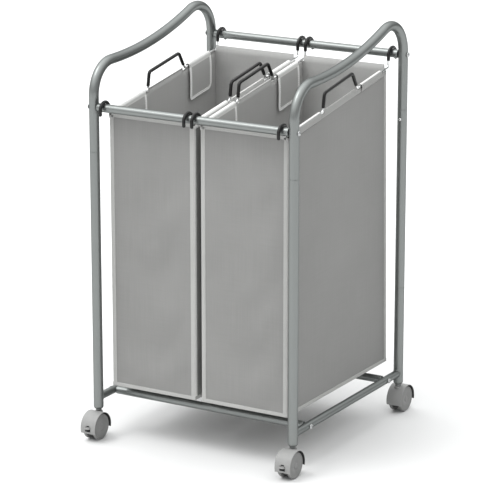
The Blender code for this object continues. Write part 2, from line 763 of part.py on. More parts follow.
main()
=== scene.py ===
from math import acos, atan2, ceil, cos, hypot, pi, radians, sin, sqrt, tan

import bmesh
import bpy
from mathutils import Matrix, Vector


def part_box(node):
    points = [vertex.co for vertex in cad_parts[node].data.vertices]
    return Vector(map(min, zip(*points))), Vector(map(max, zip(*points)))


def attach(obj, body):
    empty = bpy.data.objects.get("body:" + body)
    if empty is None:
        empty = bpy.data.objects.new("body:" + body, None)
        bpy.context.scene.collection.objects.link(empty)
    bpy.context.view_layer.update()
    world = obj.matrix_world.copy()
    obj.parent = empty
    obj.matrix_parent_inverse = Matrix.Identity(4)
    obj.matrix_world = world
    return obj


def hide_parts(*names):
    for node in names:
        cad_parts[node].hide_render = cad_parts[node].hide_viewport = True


# Looks of the two-bag laundry sorter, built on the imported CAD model: metres, +Z up, front at -Y.
# Every piece is drawn about the middle of the frame, and then stands where the CAD's frame stands.
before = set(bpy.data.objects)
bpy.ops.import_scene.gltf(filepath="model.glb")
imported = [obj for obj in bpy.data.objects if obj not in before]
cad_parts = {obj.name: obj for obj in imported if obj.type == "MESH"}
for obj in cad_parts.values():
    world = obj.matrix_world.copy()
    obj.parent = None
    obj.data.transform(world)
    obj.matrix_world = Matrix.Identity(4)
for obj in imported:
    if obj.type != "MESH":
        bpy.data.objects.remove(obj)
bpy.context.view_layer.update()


def middle(node):
    low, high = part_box(node)
    return (low + high) / 2


FRONT_POST, REAR_POST = middle("front_right_post"), middle("rear_right_post")
FRAME_Y = (FRONT_POST.y + REAR_POST.y) / 2
POST_X = FRONT_POST.x
POST_Y = REAR_POST.y - FRAME_Y
POST_FOOT_Z, FRONT_JOINT_Z = (corner.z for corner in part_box("front_right_post"))
REAR_JOINT_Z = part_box("rear_right_post")[1].z
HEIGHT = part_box("left_handle")[1].z
FRONT_BAR_Z, REAR_BAR_Z = middle("front_top_bar").z, middle("rear_top_bar").z
RAIL_Z = middle("left_side_rail").z
CROSS_RAIL_Y = middle("rear_cross_rail").y - FRAME_Y

# Tubes and wires.
POST_R = 0.0095
BAR_R = 0.008
RAIL_R = 0.0075
WALL = 0.0012
WIRE_R = 0.0022
COATED_R = 0.0033
SOCKET_FOOT_Z, SOCKET_TOP_Z = 0.0587, 0.0800
SOCKET_TAPER = 0.0018
HANDLE_BEND_R = 0.060
HANDLE_CLIMB = radians(20)
SPIGOT_R, SPIGOT_BORE_R, SPIGOT_LENGTH = 0.0080, 0.0070, 0.040
SHOULDER_RISE = 0.0027
JOINT_EDGE, BAR_EDGE = 0.0001, 0.0005
SEAM_Z, SEAM_PROUD, SEAM_HALF = 0.259, 0.0003, 0.0005
WELD_R, WELD_RIPPLE, WELD_RIPPLES = 0.0013, 0.14, 13

# Snap buttons and screws.
BUTTON_DROP = 0.019
BUTTON_R, BUTTON_STAND = 0.0030, 0.0016
BUTTON_FLANGE_R, BUTTON_FLANGE_AT, BUTTON_FLANGE = 0.0042, 0.0040, 0.0010
SHANK_R = 0.0025
HEAD_R, HEAD_HEIGHT, HEAD_RIM = 0.0050, 0.0032, 0.0008
RECESS_R, RECESS_DEPTH = 0.0017, 0.0016
THREAD_DEPTH, NUT_LENGTH = 0.014, 0.020

# Casters.
WHEEL_R = 0.0255
WHEEL_INNER_X, WHEEL_OUTER_X = 0.0075, 0.0140
HUB_FLOOR = 0.0015
HOOD_R, HOOD_BORE_R, HOOD_LIP_R = 0.0290, 0.0267, 0.0281
HOOD_HALF_WIDTH = 0.0165
HOOD_EDGE = 0.0005
HOOD_STEPS = 56
HOOD_SKIRT, HOOD_REAR_SKIRT = radians(17), radians(13)
TRAIL = 0.011
STEM_R, STEM_COLLAR_R, STEM_PLUG_R = 0.0040, 0.0055, 0.0050
STEM_FOOT_Z, STEM_TOP_Z = 0.0340, 0.0795
BOSS_R, BOSS_FOOT_Z, BOSS_TOP_Z = 0.0077, 0.0500, 0.0540
AXLE_R, AXLE_INSET = 0.0025, 0.0018
CORE_HALF_WIDTH = 0.0070
HUB_HALF = 0.0065
CORE_FOOT_FAR, CORE_DROP = 0.0165, 0.0150
WEB_FAR, WEB_NEAR, WEB_FOOT = 0.0185, 0.0035, 0.0030
BRAKE_WEB_FAR, BRAKE_WEB_NEAR = 0.0215, 0.0145
LEVER_HALF_WIDTH = 0.0055
LEVER_PIN_Y, LEVER_PIN_Z, LEVER_PIN_R = -0.0165, 0.0008, 0.0015
LEVER_REACH = 0.0180
PADDLE_HALF, PADDLE_RISE = 0.0014, 0.0024
SLOT_BACK, SLOT_UNDER, SLOT_STEP, SLOT_TOP = 0.0125, 0.0045, 0.0049, 0.0076
SLIT, SLIT_BACK = 0.0034, 0.0266

# The bags' bent wires, which climb towards the rear, with a hook at each end and a carry loop.
WIRE_OUTER_X, WIRE_INNER_X = 0.192, 0.0086
WIRE_MID_Z, WIRE_SLOPE = 0.6717, 0.148
WIRE_BEND_R = 0.006
HOOK_R, HOOK_TIP_DROP = 0.015, 0.0103
FRONT_COATING_DROP, REAR_COATING_DROP = 0.0015, 0.0090
LOOP_FRONT, LOOP_REAR = (-0.057, 0.697), (0.051, 0.715)
LOOP_FRONT_FOOT_Y, LOOP_REAR_FOOT_Y = -0.063, 0.0716
LOOP_BEND_R = 0.008
GRIP_START = 0.20

# The bags' cloth, and the sleeves, flaps and tapes sewn to it.
BAG_FRONT_Y, BAG_REAR_TOP_Y, BAG_REAR_FOOT_Y = -0.1945, 0.1870, 0.2035
BAG_FLOOR_Z = 0.105
FRONT_HEM_Z, REAR_HEM_Z = 0.648, 0.7075
HEM_DEPTH = 0.012
SLEEVE_R, SLEEVE_WRAP = 0.0042, 1.04 * pi
FRONT_SLEEVE = (-0.1935, -0.0765)
REAR_SLEEVE = (0.084, 0.163)
BAND_DEPTH, BAND_PROUD = 0.0105, 0.0022
FLAP_DEPTH = 0.069
FLAP_STAND = 0.0055
FLAP_FRONT_CORNER, FLAP_REAR_CORNER = 0.006, 0.012
FLAP_WAVE, FLAP_BELLY = 0.0005, 0.0006
FLAP_WAVE_TURN, FLAP_WAVE_START, FLAP_EASE = 4.5, 2.0, 0.25
FLAP_ROWS, FLAP_CELL, FLAP_EDGE_CELL = 14, 0.0045, 0.006
TAPE_WIDTH = 0.0075
TAPE_EDGE = 0.0084
BOTTOM_TAPE = 0.0065
FLAP_TAPE, FLAP_TAPE_TOP = 0.0054, 0.004
TAPE_PROUD, TOP_TAPE_PROUD = 0.0012, 0.0017
TAPE_CELL, TOP_TAPE_CELL = 0.03, 0.008
FOLD = 0.0006
CLOTH = 0.0009
TAPE_HALF = CLOTH / 2 + 0.0004
CLOTH_CELL, CLOTH_ROWS = 0.012, 45
SEWN_TOP = 0.018
SETTLE_FRAMES = 18
SAG_CAP, FLOOR_SAG_CAP = 0.0025, 0.009
STITCH_PITCH, STITCH_LENGTH, STITCH_R = 0.0042, 0.0030, 0.00028
STITCH_INSET, STITCH_CELL, FLAP_STITCH_TOP = 0.0012, 0.02, 0.008
FOOT_CLEAR, HEM_CLEAR = 0.008, 0.009

# The clearance between fitted pieces, the smallest step in an outline, how far a cutter passes through
# what it cuts, and how near the ends of a long straight tube its extra rings stand.
GAP = 0.0003
STEP = 0.0002
REACH = 0.004
SUPPORT = 0.0015
HOOK_INNER_Y = POST_Y - HOOK_R

X_AXIS, Y_AXIS, Z_AXIS = Vector((1, 0, 0)), Vector((0, 1, 0)), Vector((0, 0, 1))
TUBE_SIDES = 48
WIRE_SIDES = 20
BEND_STEPS = 8

CORNERS = (
    ("front_left", -1, -1),
    ("front_right", 1, -1),
    ("rear_left", -1, 1),
    ("rear_right", 1, 1),
)
SIDES = (("left", -1), ("right", 1))

# The camera: its bearing, distance, target and lens.
CAMERA_YAW, CAMERA_PITCH = radians(30.33), radians(15.49)
CAMERA_DISTANCE = 5.18671
CAMERA_TARGET = Vector((-0.00111, FRAME_Y, 0.35625))
CAMERA_LENS = 192.79

# A soft white studio: a sky brighter overhead and towards the front left, and one broad key light.
SKY_HORIZON, SKY_ZENITH = 0.22, 2.45
SKY_LEFT, SKY_FRONT = 0.34, 0.14
BACKGROUND = 1.05
KEY_FROM = Vector((-1.5, -1.6, 3.9))
KEY_STRENGTH, KEY_ANGLE = 0.75, radians(24)


# ---- materials ----


def new_material(name):
    made = bpy.data.materials.new(name)
    made.use_nodes = True
    return made, made.node_tree


def feed(tree, socket, value):
    """Links a socket to another one, or sets its constant value."""
    if isinstance(value, bpy.types.NodeSocket):
        tree.links.new(value, socket)
    else:
        socket.default_value = value


def add_node(tree, kind, inputs=(), **settings):
    """A node with its settings, and its inputs as (name or index, value or socket) pairs."""
    made = tree.nodes.new(kind)
    for key, value in settings.items():
        setattr(made, key, value)
    for key, value in inputs:
        feed(tree, made.inputs[key], value)
    return made


def set_shader(tree, **inputs):
    """Sets or links inputs of the material's shader, named with underscores for spaces."""
    shader = tree.nodes["Principled BSDF"]
    for name, value in inputs.items():
        feed(tree, shader.inputs[name.replace("_", " ")], value)


def calc(tree, operation, *values):
    """The result of a Math node."""
    return add_node(tree, "ShaderNodeMath", list(enumerate(values)), operation=operation).outputs[0]


def plus(tree, first, second):
    return calc(tree, "ADD", first, second)


def times(tree, first, second):
    return calc(tree, "MULTIPLY", first, second)


def coordinates(tree):
    """The object's own coordinates, and each of them apart."""
    place = add_node(tree, "ShaderNodeTexCoord").outputs["Object"]
    return place, add_node(tree, "ShaderNodeSeparateXYZ", [(0, place)]).outputs


def noise(tree, vector, scale, detail=2.0, roughness=0.5):
    inputs = [("Vector", vector), ("Scale", scale), ("Detail", detail), ("Roughness", roughness)]
    return add_node(tree, "ShaderNodeTexNoise", inputs).outputs["Fac"]


def grain(tree, axes, scales, detail, roughness=0.5):
    """Noise drawn out along the axes whose scales are small."""
    scaled = [(i, times(tree, axis, scale)) for i, (axis, scale) in enumerate(zip(axes, scales))]
    return noise(tree, add_node(tree, "ShaderNodeCombineXYZ", scaled).outputs[0], 1, detail, roughness)


def between(tree, value, low, high):
    """Maps 0..1 to low..high."""
    inputs = [("Value", value), ("To Min", low), ("To Max", high)]
    return add_node(tree, "ShaderNodeMapRange", inputs).outputs[0]


def tint(tree, factor, dark, light):
    """A colour between two by a factor."""
    ramp = add_node(tree, "ShaderNodeValToRGB", [(0, factor)])
    for element, colour in zip(ramp.color_ramp.elements, (dark, light)):
        element.color = (*colour, 1)
    return ramp.outputs[0]


def bump(tree, height, strength, distance, normal=None):
    inputs = [("Height", height), ("Strength", strength), ("Distance", distance)]
    if normal:
        inputs.append(("Normal", normal))
    return add_node(tree, "ShaderNodeBump", inputs).outputs[0]


def paint():
    """Silver-grey metallic powder coat: fine flake, a light orange peel and a cloudy tone."""
    made, tree = new_material("silver_powder_coat")
    place, _ = coordinates(tree)
    flake, peel, cloud = noise(tree, place, 2600, 1), noise(tree, place, 420), noise(tree, place, 14, 3)
    tone = between(tree, plus(tree, flake, cloud), -0.3, 0.7)
    set_shader(
        tree,
        Base_Color=tint(tree, tone, (0.210, 0.221, 0.217), (0.256, 0.268, 0.263)),
        Metallic=0.84,
        Roughness=between(tree, cloud, 0.29, 0.35),
        Normal=bump(tree, peel, 0.03, 0.0003, bump(tree, flake, 0.02, 0.0001)),
        Specular_Tint=(0.30, 0.31, 0.31, 1),
        Specular_IOR_Level=0.6,
    )
    return made, "silver_paint"


def plating(name, dark, light, rough):
    """Zinc or nickel plating with a faint drawn grain."""
    made, tree = new_material(name)
    place, axes = coordinates(tree)
    drawn = grain(tree, axes, (900, 120, 900), 2)
    spots = noise(tree, place, 60, 3)
    set_shader(
        tree,
        Base_Color=tint(tree, spots, dark, light),
        Metallic=1.0,
        Roughness=between(tree, spots, rough * 0.75, rough * 1.3),
        Normal=bump(tree, drawn, 0.12, 0.0002),
    )
    return made, "bright_plating"


def vinyl():
    """Dipped black vinyl: satin, with shallow dimples and slightly duller patches."""
    made, tree = new_material("black_dipped_vinyl")
    place, _ = coordinates(tree)
    dimples, patches = noise(tree, place, 700), noise(tree, place, 45)
    set_shader(
        tree,
        Base_Color=tint(tree, patches, (0.005, 0.005, 0.005), (0.011, 0.011, 0.0105)),
        Roughness=between(tree, patches, 0.26, 0.40),
        Normal=bump(tree, dimples, 0.14, 0.0003),
        Specular_IOR_Level=0.35,
    )
    return made, "black_vinyl"


def plastic(name, dark, light, rough):
    """Moulded plastic with a fine spark-eroded grain and faint scuffs."""
    made, tree = new_material(name)
    place, _ = coordinates(tree)
    eroded, scuffs = noise(tree, place, 2200), noise(tree, place, 90, 4, 0.65)
    set_shader(
        tree,
        Base_Color=tint(tree, scuffs, dark, light),
        Roughness=between(tree, scuffs, rough - 0.06, rough + 0.10),
        Normal=bump(tree, eroded, 0.18, 0.0002),
        Specular_IOR_Level=0.4,
    )
    return made, "grey_plastic"


def weave_height(tree, across, up, thread):
    """A plain weave: warp threads over weft threads, turn about."""
    warp, weft = (calc(tree, "SINE", times(tree, axis, pi / thread)) for axis in (across, up))
    ribs = plus(tree, calc(tree, "ABSOLUTE", warp), calc(tree, "ABSOLUTE", weft))
    return plus(tree, times(tree, times(tree, warp, weft), 0.35), times(tree, ribs, 0.5))


def fabric(name, dark, light, thread, streak, sheen):
    """Woven polyester with slubs in its yarn, which show as faint streaks up and across the cloth."""
    made, tree = new_material(name)
    place, axes = coordinates(tree)
    across, up = plus(tree, axes[0], axes[1]), axes[2]
    warp = grain(tree, (across, up), (620, 9), 3, 0.6)
    weft = grain(tree, (across, up), (12, 700), 2)
    cloud = noise(tree, place, 7, 3)
    slubs = plus(tree, times(tree, warp, 0.62), times(tree, weft, 0.38))
    mixed = plus(tree, times(tree, slubs, streak), times(tree, cloud, 1 - streak))
    weave = weave_height(tree, across, up, thread)
    set_shader(
        tree,
        Base_Color=tint(tree, between(tree, mixed, -0.6, 1.6), dark, light),
        Roughness=between(tree, slubs, 0.80, 0.95),
        Normal=bump(tree, weave, 0.35, 0.0002, bump(tree, slubs, 0.30, 0.0006)),
        Specular_IOR_Level=0.25,
        Sheen_Weight=sheen,
        Sheen_Roughness=0.5,
    )
    return made, "grey_fabric"


# Each finish is a material and the name of its slot.
CLOTH_WEAVE, TAPE_WEAVE = (0.0007, 0.6, 0.05), (0.0009, 0.5, 0.08)
PAINT = paint()
BRIGHT = plating("bright_plating_finish", (0.80, 0.81, 0.81), (0.92, 0.92, 0.92), 0.20)
SCREW = plating("screw_plating", (0.42, 0.43, 0.43), (0.55, 0.56, 0.56), 0.32)
STEEL = plating("dull_steel", (0.16, 0.165, 0.165), (0.26, 0.265, 0.265), 0.36)
VINYL = vinyl()
HOOD = plastic("hood_plastic", (0.255, 0.255, 0.252), (0.31, 0.31, 0.305), 0.48)
WHEEL = plastic("wheel_plastic", (0.195, 0.195, 0.193), (0.24, 0.24, 0.236), 0.55)
# Painted shade: a near-black copy of the hood's plastic for its inside, standing in for the shade between
# hood and wheels.
HOOD_PAINTED_SHADE = plastic("hood_inside_painted_shade", (0.020, 0.020, 0.020), (0.034, 0.034, 0.034), 0.7)
FABRIC = fabric("slubbed_fabric", (0.222, 0.221, 0.216), (0.270, 0.268, 0.262), *CLOTH_WEAVE)
# Painted light: a paler copy of the bag cloth for its inside faces and the flaps, standing in for light
# inside the bags.
PAINTED_LIGHT_CLOTH = fabric("bag_cloth_painted_light", (0.38, 0.379, 0.372), (0.45, 0.448, 0.44), *CLOTH_WEAVE)
TRIM = fabric("binding_tape", (0.36, 0.36, 0.35), (0.44, 0.44, 0.43), *TAPE_WEAVE)
BAND = fabric("side_band_tape", (0.285, 0.285, 0.278), (0.345, 0.345, 0.337), *TAPE_WEAVE)
# Painted light: a paler copy of the binding tape, for the sleeves' lit tops and the tape faces across the
# shaded gap.
PAINTED_LIGHT_TAPE = fabric("sleeve_and_gap_tape_painted_light", (0.62, 0.62, 0.61), (0.74, 0.74, 0.725), *TAPE_WEAVE)
# Painted light: the flap tapes near white, standing in for light inside the bags.
PAINTED_LIGHT_FLAP_TAPE = fabric("flap_tape_painted_light", (0.84, 0.84, 0.83), (0.93, 0.93, 0.915), *TAPE_WEAVE)
THREAD = fabric("sewing_thread", (0.40, 0.40, 0.39), (0.50, 0.50, 0.49), 0.0004, 0.5, 0.1)


# ---- mesh building ----


def bridge(bm, first, second, closed=True):
    """Quads between two rows of vertices of the same length."""
    count = len(first)
    for i in range(count if closed else count - 1):
        j = (i + 1) % count
        bm.faces.new((first[i], first[j], second[j], second[i]))


def circle(centre, side, up, radius, sides):
    angles = (2 * pi * i / sides for i in range(sides))
    return [centre + radius * (side * cos(a) + up * sin(a)) for a in angles]


def loft(rings, loop=False, caps=True, closed=True, bm=None):
    """A skin over rings of points, closed on itself or capped at both ends; it can add to a bmesh."""
    bm = bm or bmesh.new()
    made = [[bm.verts.new(point) for point in ring] for ring in rings]
    for first, second in zip(made, made[1:]):
        bridge(bm, first, second, closed)
    if loop:
        bridge(bm, made[-1], made[0], closed)
    elif caps and closed:
        bm.faces.new(made[0])
        bm.faces.new(made[-1])
    return bm


def mesh_from(name, bm):
    """A mesh made of a bmesh, which is used up."""
    mesh = bpy.data.meshes.new(name)
    bm.to_mesh(mesh)
    bm.free()
    return mesh


def linked(name, data):
    """A new object in the scene."""
    obj = bpy.data.objects.new(name, data)
    bpy.context.scene.collection.objects.link(obj)
    return obj


def supported(stations):
    """The same stations, with one more near each end of every long straight run to keep its shading even."""
    made = [stations[0]]
    for before, after in zip(stations, stations[1:]):
        start, end = Vector(before[0]), Vector(after[0])
        length = (end - start).length
        if length > 6 * SUPPORT:
            near = SUPPORT / length
            made += [(start.lerp(end, near), *before[1:]), (start.lerp(end, 1 - near), *after[1:])]
        made.append(after)
    return made


def headings(path):
    """The direction of a path of vectors at each of its points."""
    before, after = path[:1] + path[:-1], path[1:] + path[-1:]
    return [(end - start).normalized() for start, end in zip(before, after)]


def tube(stations, sides=TUBE_SIDES, side=(1, 0, 0), bm=None):
    """A tube or rod along a path in one plane: stations are (point, outer radius, bore radius or 0)."""
    side = Vector(side)
    stations = supported(stations)
    points = [Vector(point) for point, _, _ in stations]
    outer, inner = [], []
    for point, heading, (_, radius, bore) in zip(points, headings(points), stations):
        up = side.cross(heading)
        outer.append(circle(point, side, up, radius, sides))
        inner.append(circle(point, side, up, bore, sides))
    if stations[0][2]:
        return loft(outer + inner[::-1], loop=True, bm=bm)
    return loft(outer, bm=bm)


def turned(profile, sides=TUBE_SIDES, closed=False):
    """A solid turned about Z from (radius, z) points; an open profile starts and ends on the axis."""
    bm = bmesh.new()
    rings = []
    for radius, z in profile:
        points = circle(Vector((0, 0, z)), X_AXIS, Y_AXIS, radius, sides if radius else 1)
        rings.append([bm.verts.new(point) for point in points])
    for first, second in zip(rings, rings[1:] + (rings[:1] if closed else [])):
        if len(first) == 1 or len(second) == 1:
            tip, rim = (first, second) if len(first) == 1 else (second, first)
            for i in range(len(rim)):
                bm.faces.new((tip[0], rim[i], rim[(i + 1) % len(rim)]))
        else:
            bridge(bm, first, second)
    return bm


def arc(centre, radius, start, end, steps):
    """Points on a circle in a plane, from one angle to another."""
    made = []
    for i in range(steps + 1):
        angle = start + (end - start) * i / steps
        made.append((centre[0] + radius * cos(angle), centre[1] + radius * sin(angle)))
    return made


def dome(radius, foot, height, steps=6):
    """Profile of a domed end, from its rim up to its crown on the axis."""
    angles = [pi / 2 * k / steps for k in range(steps)]
    return [(radius * cos(a), foot + height * sin(a)) for a in angles] + [(0, foot + height)]


def rounded_corner(before, here, after, radius, steps):
    """Points of the arc that rounds one corner of a path in a plane."""
    before, here, after = Vector(before[:2]), Vector(here[:2]), Vector(after[:2])
    arriving, leaving = (here - before).normalized(), (after - here).normalized()
    turn = arriving.angle_signed(leaving, 0)
    if not radius or abs(turn) < 1e-4:
        return [here]
    start = here - arriving * radius * tan(abs(turn) / 2)
    centre = start + Vector((-arriving.y, arriving.x)) * (-radius if turn > 0 else radius)
    made = []
    for k in range(steps + 1):
        spoke = start - centre
        spoke.rotate(Matrix.Rotation(-turn * k / steps, 2))
        made.append(centre + spoke)
    return made


def rounded_path(corners, steps=BEND_STEPS):
    """An open path through (u, v, bend radius) corners."""
    path = [Vector(corners[0][:2])]
    for before, here, after in zip(corners, corners[1:], corners[2:]):
        path += rounded_corner(before, here, after, here[2], steps)
    path.append(Vector(corners[-1][:2]))
    return [p for i, p in enumerate(path) if i == 0 or (p - path[i - 1]).length > STEP / 4]


def rounded_outline(corners, steps=4):
    """A closed outline through (u, v, radius) corners."""
    made = []
    for i, here in enumerate(corners):
        made += rounded_corner(corners[i - 1], here, corners[(i + 1) % len(corners)], here[2], steps)
    return made


def prism(outline, half_width):
    """An outline in the YZ plane, extruded along X to both sides."""
    return loft([[(x, y, z) for y, z in outline] for x in (-half_width, half_width)])


def block(low, high):
    outline = [(low[1], low[2]), (high[1], low[2]), (high[1], high[2]), (low[1], high[2])]
    bm = prism(outline, (high[0] - low[0]) / 2)
    return moved(bm, ((low[0] + high[0]) / 2, 0, 0))


def moved(bm, offset):
    bmesh.ops.translate(bm, verts=bm.verts, vec=offset)
    return bm


def rotated(bm, angle, axis):
    bmesh.ops.rotate(bm, verts=bm.verts, matrix=Matrix.Rotation(angle, 3, axis), cent=(0, 0, 0))
    return bm


def along(bm, axis):
    """Turns a solid made about Z so that its axis points along the given direction."""
    turn = Z_AXIS.rotation_difference(Vector(axis)).to_matrix()
    bmesh.ops.rotate(bm, verts=bm.verts, matrix=turn, cent=(0, 0, 0))
    return bm


def rod(start, end, radius, sides=24):
    start, end = Vector(start), Vector(end)
    half = (end - start).length / 2
    bm = turned([(0, -half), (radius, -half), (radius, half), (0, half)], sides)
    return moved(along(bm, (end - start).normalized()), (start + end) / 2)


def rod_x(centre, half, radius, sides=24):
    """A rod along X, centred on a point."""
    x, y, z = centre
    return rod((x - half, y, z), (x + half, y, z), radius, sides)


def joined(*solids):
    """Several shapes as the parts of one mesh."""
    made = bmesh.new()
    for bm in solids:
        mesh = mesh_from("part", bm)
        made.from_mesh(mesh)
        bpy.data.meshes.remove(mesh)
    return made


def helper_object(bm):
    bmesh.ops.recalc_face_normals(bm, faces=bm.faces)
    return linked("helper", mesh_from("helper", bm))


def carved(bm, *holes, joins=()):
    """A solid with some others joined to it, and then some cut out."""
    target, others = helper_object(bm), []
    for operation, solids in (("UNION", joins), ("DIFFERENCE", holes)):
        for solid in solids:
            others.append(helper_object(solid))
            modifier = target.modifiers.new("cut", "BOOLEAN")
            modifier.operation, modifier.solver, modifier.object = operation, "EXACT", others[-1]
    shown = target.evaluated_get(bpy.context.evaluated_depsgraph_get())
    made = bmesh.new()
    made.from_mesh(shown.to_mesh())
    shown.to_mesh_clear()
    for obj in [target, *others]:
        mesh = obj.data
        bpy.data.objects.remove(obj)
        bpy.data.meshes.remove(mesh)
    return made


def piece(name, bm, finish, body, replaces=(), place=(0, 0, 0), sharp=35):
    """A finished piece: smooth-shaded, in its material, standing in the frame and riding on its CAD body."""
    bmesh.ops.recalc_face_normals(bm, faces=bm.faces)
    mesh = mesh_from(name, bm)
    mesh.shade_smooth()
    mesh.set_sharp_from_angle(angle=radians(sharp))
    obj = linked(name, mesh)
    obj.location = Vector(place) + Vector((0, FRAME_Y, 0))
    mesh.materials.append(finish[0])
    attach(obj, body)
    if replaces:
        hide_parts(*replaces)
    return obj


def paint_hood_shade(obj, finish):
    """Gives the surfaces facing the wheels a second, darker finish: painted shade inside the hood."""
    obj.data.materials.append(finish[0])
    for polygon in obj.data.polygons:
        x, y, z = polygon.center
        inside = hypot(y, z) < HOOD_LIP_R + GAP / 2 and abs(x) < HOOD_HALF_WIDTH - GAP
        polygon.material_index = int(inside)


def soften(obj, width, segments=3, angle=35):
    """Rounds a piece's edges."""
    modifier = obj.modifiers.new("soft_edges", "BEVEL")
    modifier.width, modifier.segments = width, segments
    modifier.limit_method, modifier.angle_limit = "ANGLE", radians(angle)
    return obj


# ---- frame ----


def on_plane(path, x, radius, bore=0.0):
    """Stations for a tube on a YZ path at one x."""
    return [((x, point[0], point[1]), radius, bore) for point in path]


def handle_path():
    """The handle's centreline above its two joints, front to rear, as (y, z)."""
    peak_z = HEIGHT - POST_R
    span = 2 * (POST_Y - HANDLE_BEND_R) - HANDLE_BEND_R * sin(HANDLE_CLIMB)
    dip_r = span / sin(HANDLE_CLIMB)
    level_z = peak_z - (dip_r + HANDLE_BEND_R) * (1 - cos(HANDLE_CLIMB))
    front_bend = (-POST_Y + HANDLE_BEND_R, level_z - HANDLE_BEND_R)
    rear_bend = (POST_Y - HANDLE_BEND_R, peak_z - HANDLE_BEND_R)
    path = arc(front_bend, HANDLE_BEND_R, pi, pi / 2, 24)
    path += arc((front_bend[0], level_z + dip_r), dip_r, -pi / 2, HANDLE_CLIMB - pi / 2, 28)[1:]
    path += arc(rear_bend, HANDLE_BEND_R, pi / 2 + HANDLE_CLIMB, pi / 2, 8)[1:]
    path += arc(rear_bend, HANDLE_BEND_R, pi / 2, 0, 24)[1:]
    return path


def spigot_stations(x, y, joint_z):
    """The swaged end that plugs into a post, from its tip up to full diameter, with a rounded shoulder."""
    seat = joint_z + STEP / 4
    shoulder = seat + STEP / 4
    outline = [
        (joint_z - SPIGOT_LENGTH, SPIGOT_R), (seat, SPIGOT_R), (shoulder, POST_R - JOINT_EDGE),
        (shoulder + JOINT_EDGE, POST_R),
    ]
    stations = [((x, y, z), radius, SPIGOT_BORE_R) for z, radius in outline]
    return [*stations, ((x, y, joint_z + SHOULDER_RISE), POST_R, POST_R - WALL)]


def joint_height(side_y):
    return FRONT_JOINT_Z if side_y < 0 else REAR_JOINT_Z


def button_place(side_x, side_y):
    """Where a snap button's axis meets its post's axis, and the way it faces: into the frame."""
    return Vector((side_x * POST_X, side_y * POST_Y, joint_height(side_y) - BUTTON_DROP)), -side_y * Y_AXIS


def button_hole(side_x, side_y):
    centre, facing = button_place(side_x, side_y)
    return rod(centre + facing * STEM_R, centre + facing * (POST_R + REACH), BUTTON_R + GAP)


def make_handle(side, side_x):
    x = side_x * POST_X
    stations = spigot_stations(x, -POST_Y, FRONT_JOINT_Z)
    stations += on_plane(handle_path(), x, POST_R, POST_R - WALL)
    stations += reversed(spigot_stations(x, POST_Y, REAR_JOINT_Z))
    holes = []
    for side_y, bar_z in ((-1, FRONT_BAR_Z), (1, REAR_BAR_Z)):
        holes.append(rod_x((x, side_y * POST_Y, bar_z), POST_R + REACH, SHANK_R + GAP))
        holes.append(button_hole(side_x, side_y))
    piece(f"{side}_handle_tube", carved(tube(stations), *holes), PAINT, "frame", [f"{side}_handle"])


def make_post(corner, side_x, side_y):
    """A post; a rear one has a fine raised seam low down."""
    joint_z, edge = joint_height(side_y), JOINT_EDGE
    outline = [(POST_FOOT_Z, POST_R - edge / 2), (POST_FOOT_Z + edge / 2, POST_R)]
    if side_y > 0:
        outline += [(SEAM_Z - SEAM_HALF, POST_R), (SEAM_Z, POST_R + SEAM_PROUD), (SEAM_Z + SEAM_HALF, POST_R)]
    outline += [(joint_z - edge, POST_R), (joint_z - edge / 3, POST_R - edge / 3), (joint_z, POST_R - edge)]
    x, y = side_x * POST_X, side_y * POST_Y
    stations = [((x, y, z), radius, POST_R - WALL) for z, radius in outline]
    post = carved(tube(stations), button_hole(side_x, side_y))
    piece(f"{corner}_post_tube", post, PAINT, "frame", [f"{corner}_post"])


def make_button(corner, side_x, side_y):
    """A domed pin with a flat flange inside the spigot."""
    centre, facing = button_place(side_x, side_y)
    flange_top = BUTTON_FLANGE_AT + BUTTON_FLANGE
    profile = [(0, BUTTON_FLANGE_AT), (BUTTON_FLANGE_R, BUTTON_FLANGE_AT), (BUTTON_FLANGE_R, flange_top)]
    profile += [(BUTTON_R, flange_top), *dome(BUTTON_R, POST_R, BUTTON_STAND)]
    solid = along(turned(profile, 32), facing)
    piece(f"{corner}_button_pin", solid, BRIGHT, f"{corner}_button", [f"{corner}_snap_button"], centre)


def make_socket(corner, side_x, side_y):
    """The insert in a post's foot that takes the caster's stem."""
    bore, inner, lip_top = STEM_PLUG_R + GAP, POST_R - WALL - GAP, POST_FOOT_Z - GAP
    foot = POST_R - SOCKET_TAPER
    profile = [
        (bore, SOCKET_FOOT_Z), (foot - 0.0006, SOCKET_FOOT_Z),
        (foot - 0.0001, SOCKET_FOOT_Z + 0.0004), (foot + 0.0005, SOCKET_FOOT_Z + 0.0011),
        (POST_R - 0.0006, SOCKET_FOOT_Z + 0.0025), (POST_R, SOCKET_FOOT_Z + 2 * SOCKET_TAPER),
        (POST_R, lip_top - GAP), (POST_R - GAP, lip_top), (inner, lip_top), (inner, SOCKET_TOP_Z),
        (bore, SOCKET_TOP_Z),
    ]
    place = (side_x * POST_X, side_y * POST_Y, 0)
    plug = turned(profile, closed=True)
    piece(f"{corner}_socket_plug", plug, PAINT, "frame", [f"{corner}_foot_socket"], place)


def weld_bead(x, side_y):
    """A bead round the saddle where a side rail's end meets its post, slightly uneven like hand welding."""
    rings = []
    count = 72
    for i in range(count):
        angle = 2 * pi * i / count
        across, height = RAIL_R * cos(angle), RAIL_R * sin(angle)
        depth = POST_Y - sqrt(POST_R**2 - across**2)
        centre = Vector((x + across, side_y * depth, RAIL_Z + height))
        spoke = Vector((cos(angle), 0, sin(angle)))
        radius = WELD_R * (1 + WELD_RIPPLE * sin(WELD_RIPPLES * angle))
        rings.append(circle(centre, spoke, Y_AXIS, radius, 10))
    return loft(rings, loop=True)


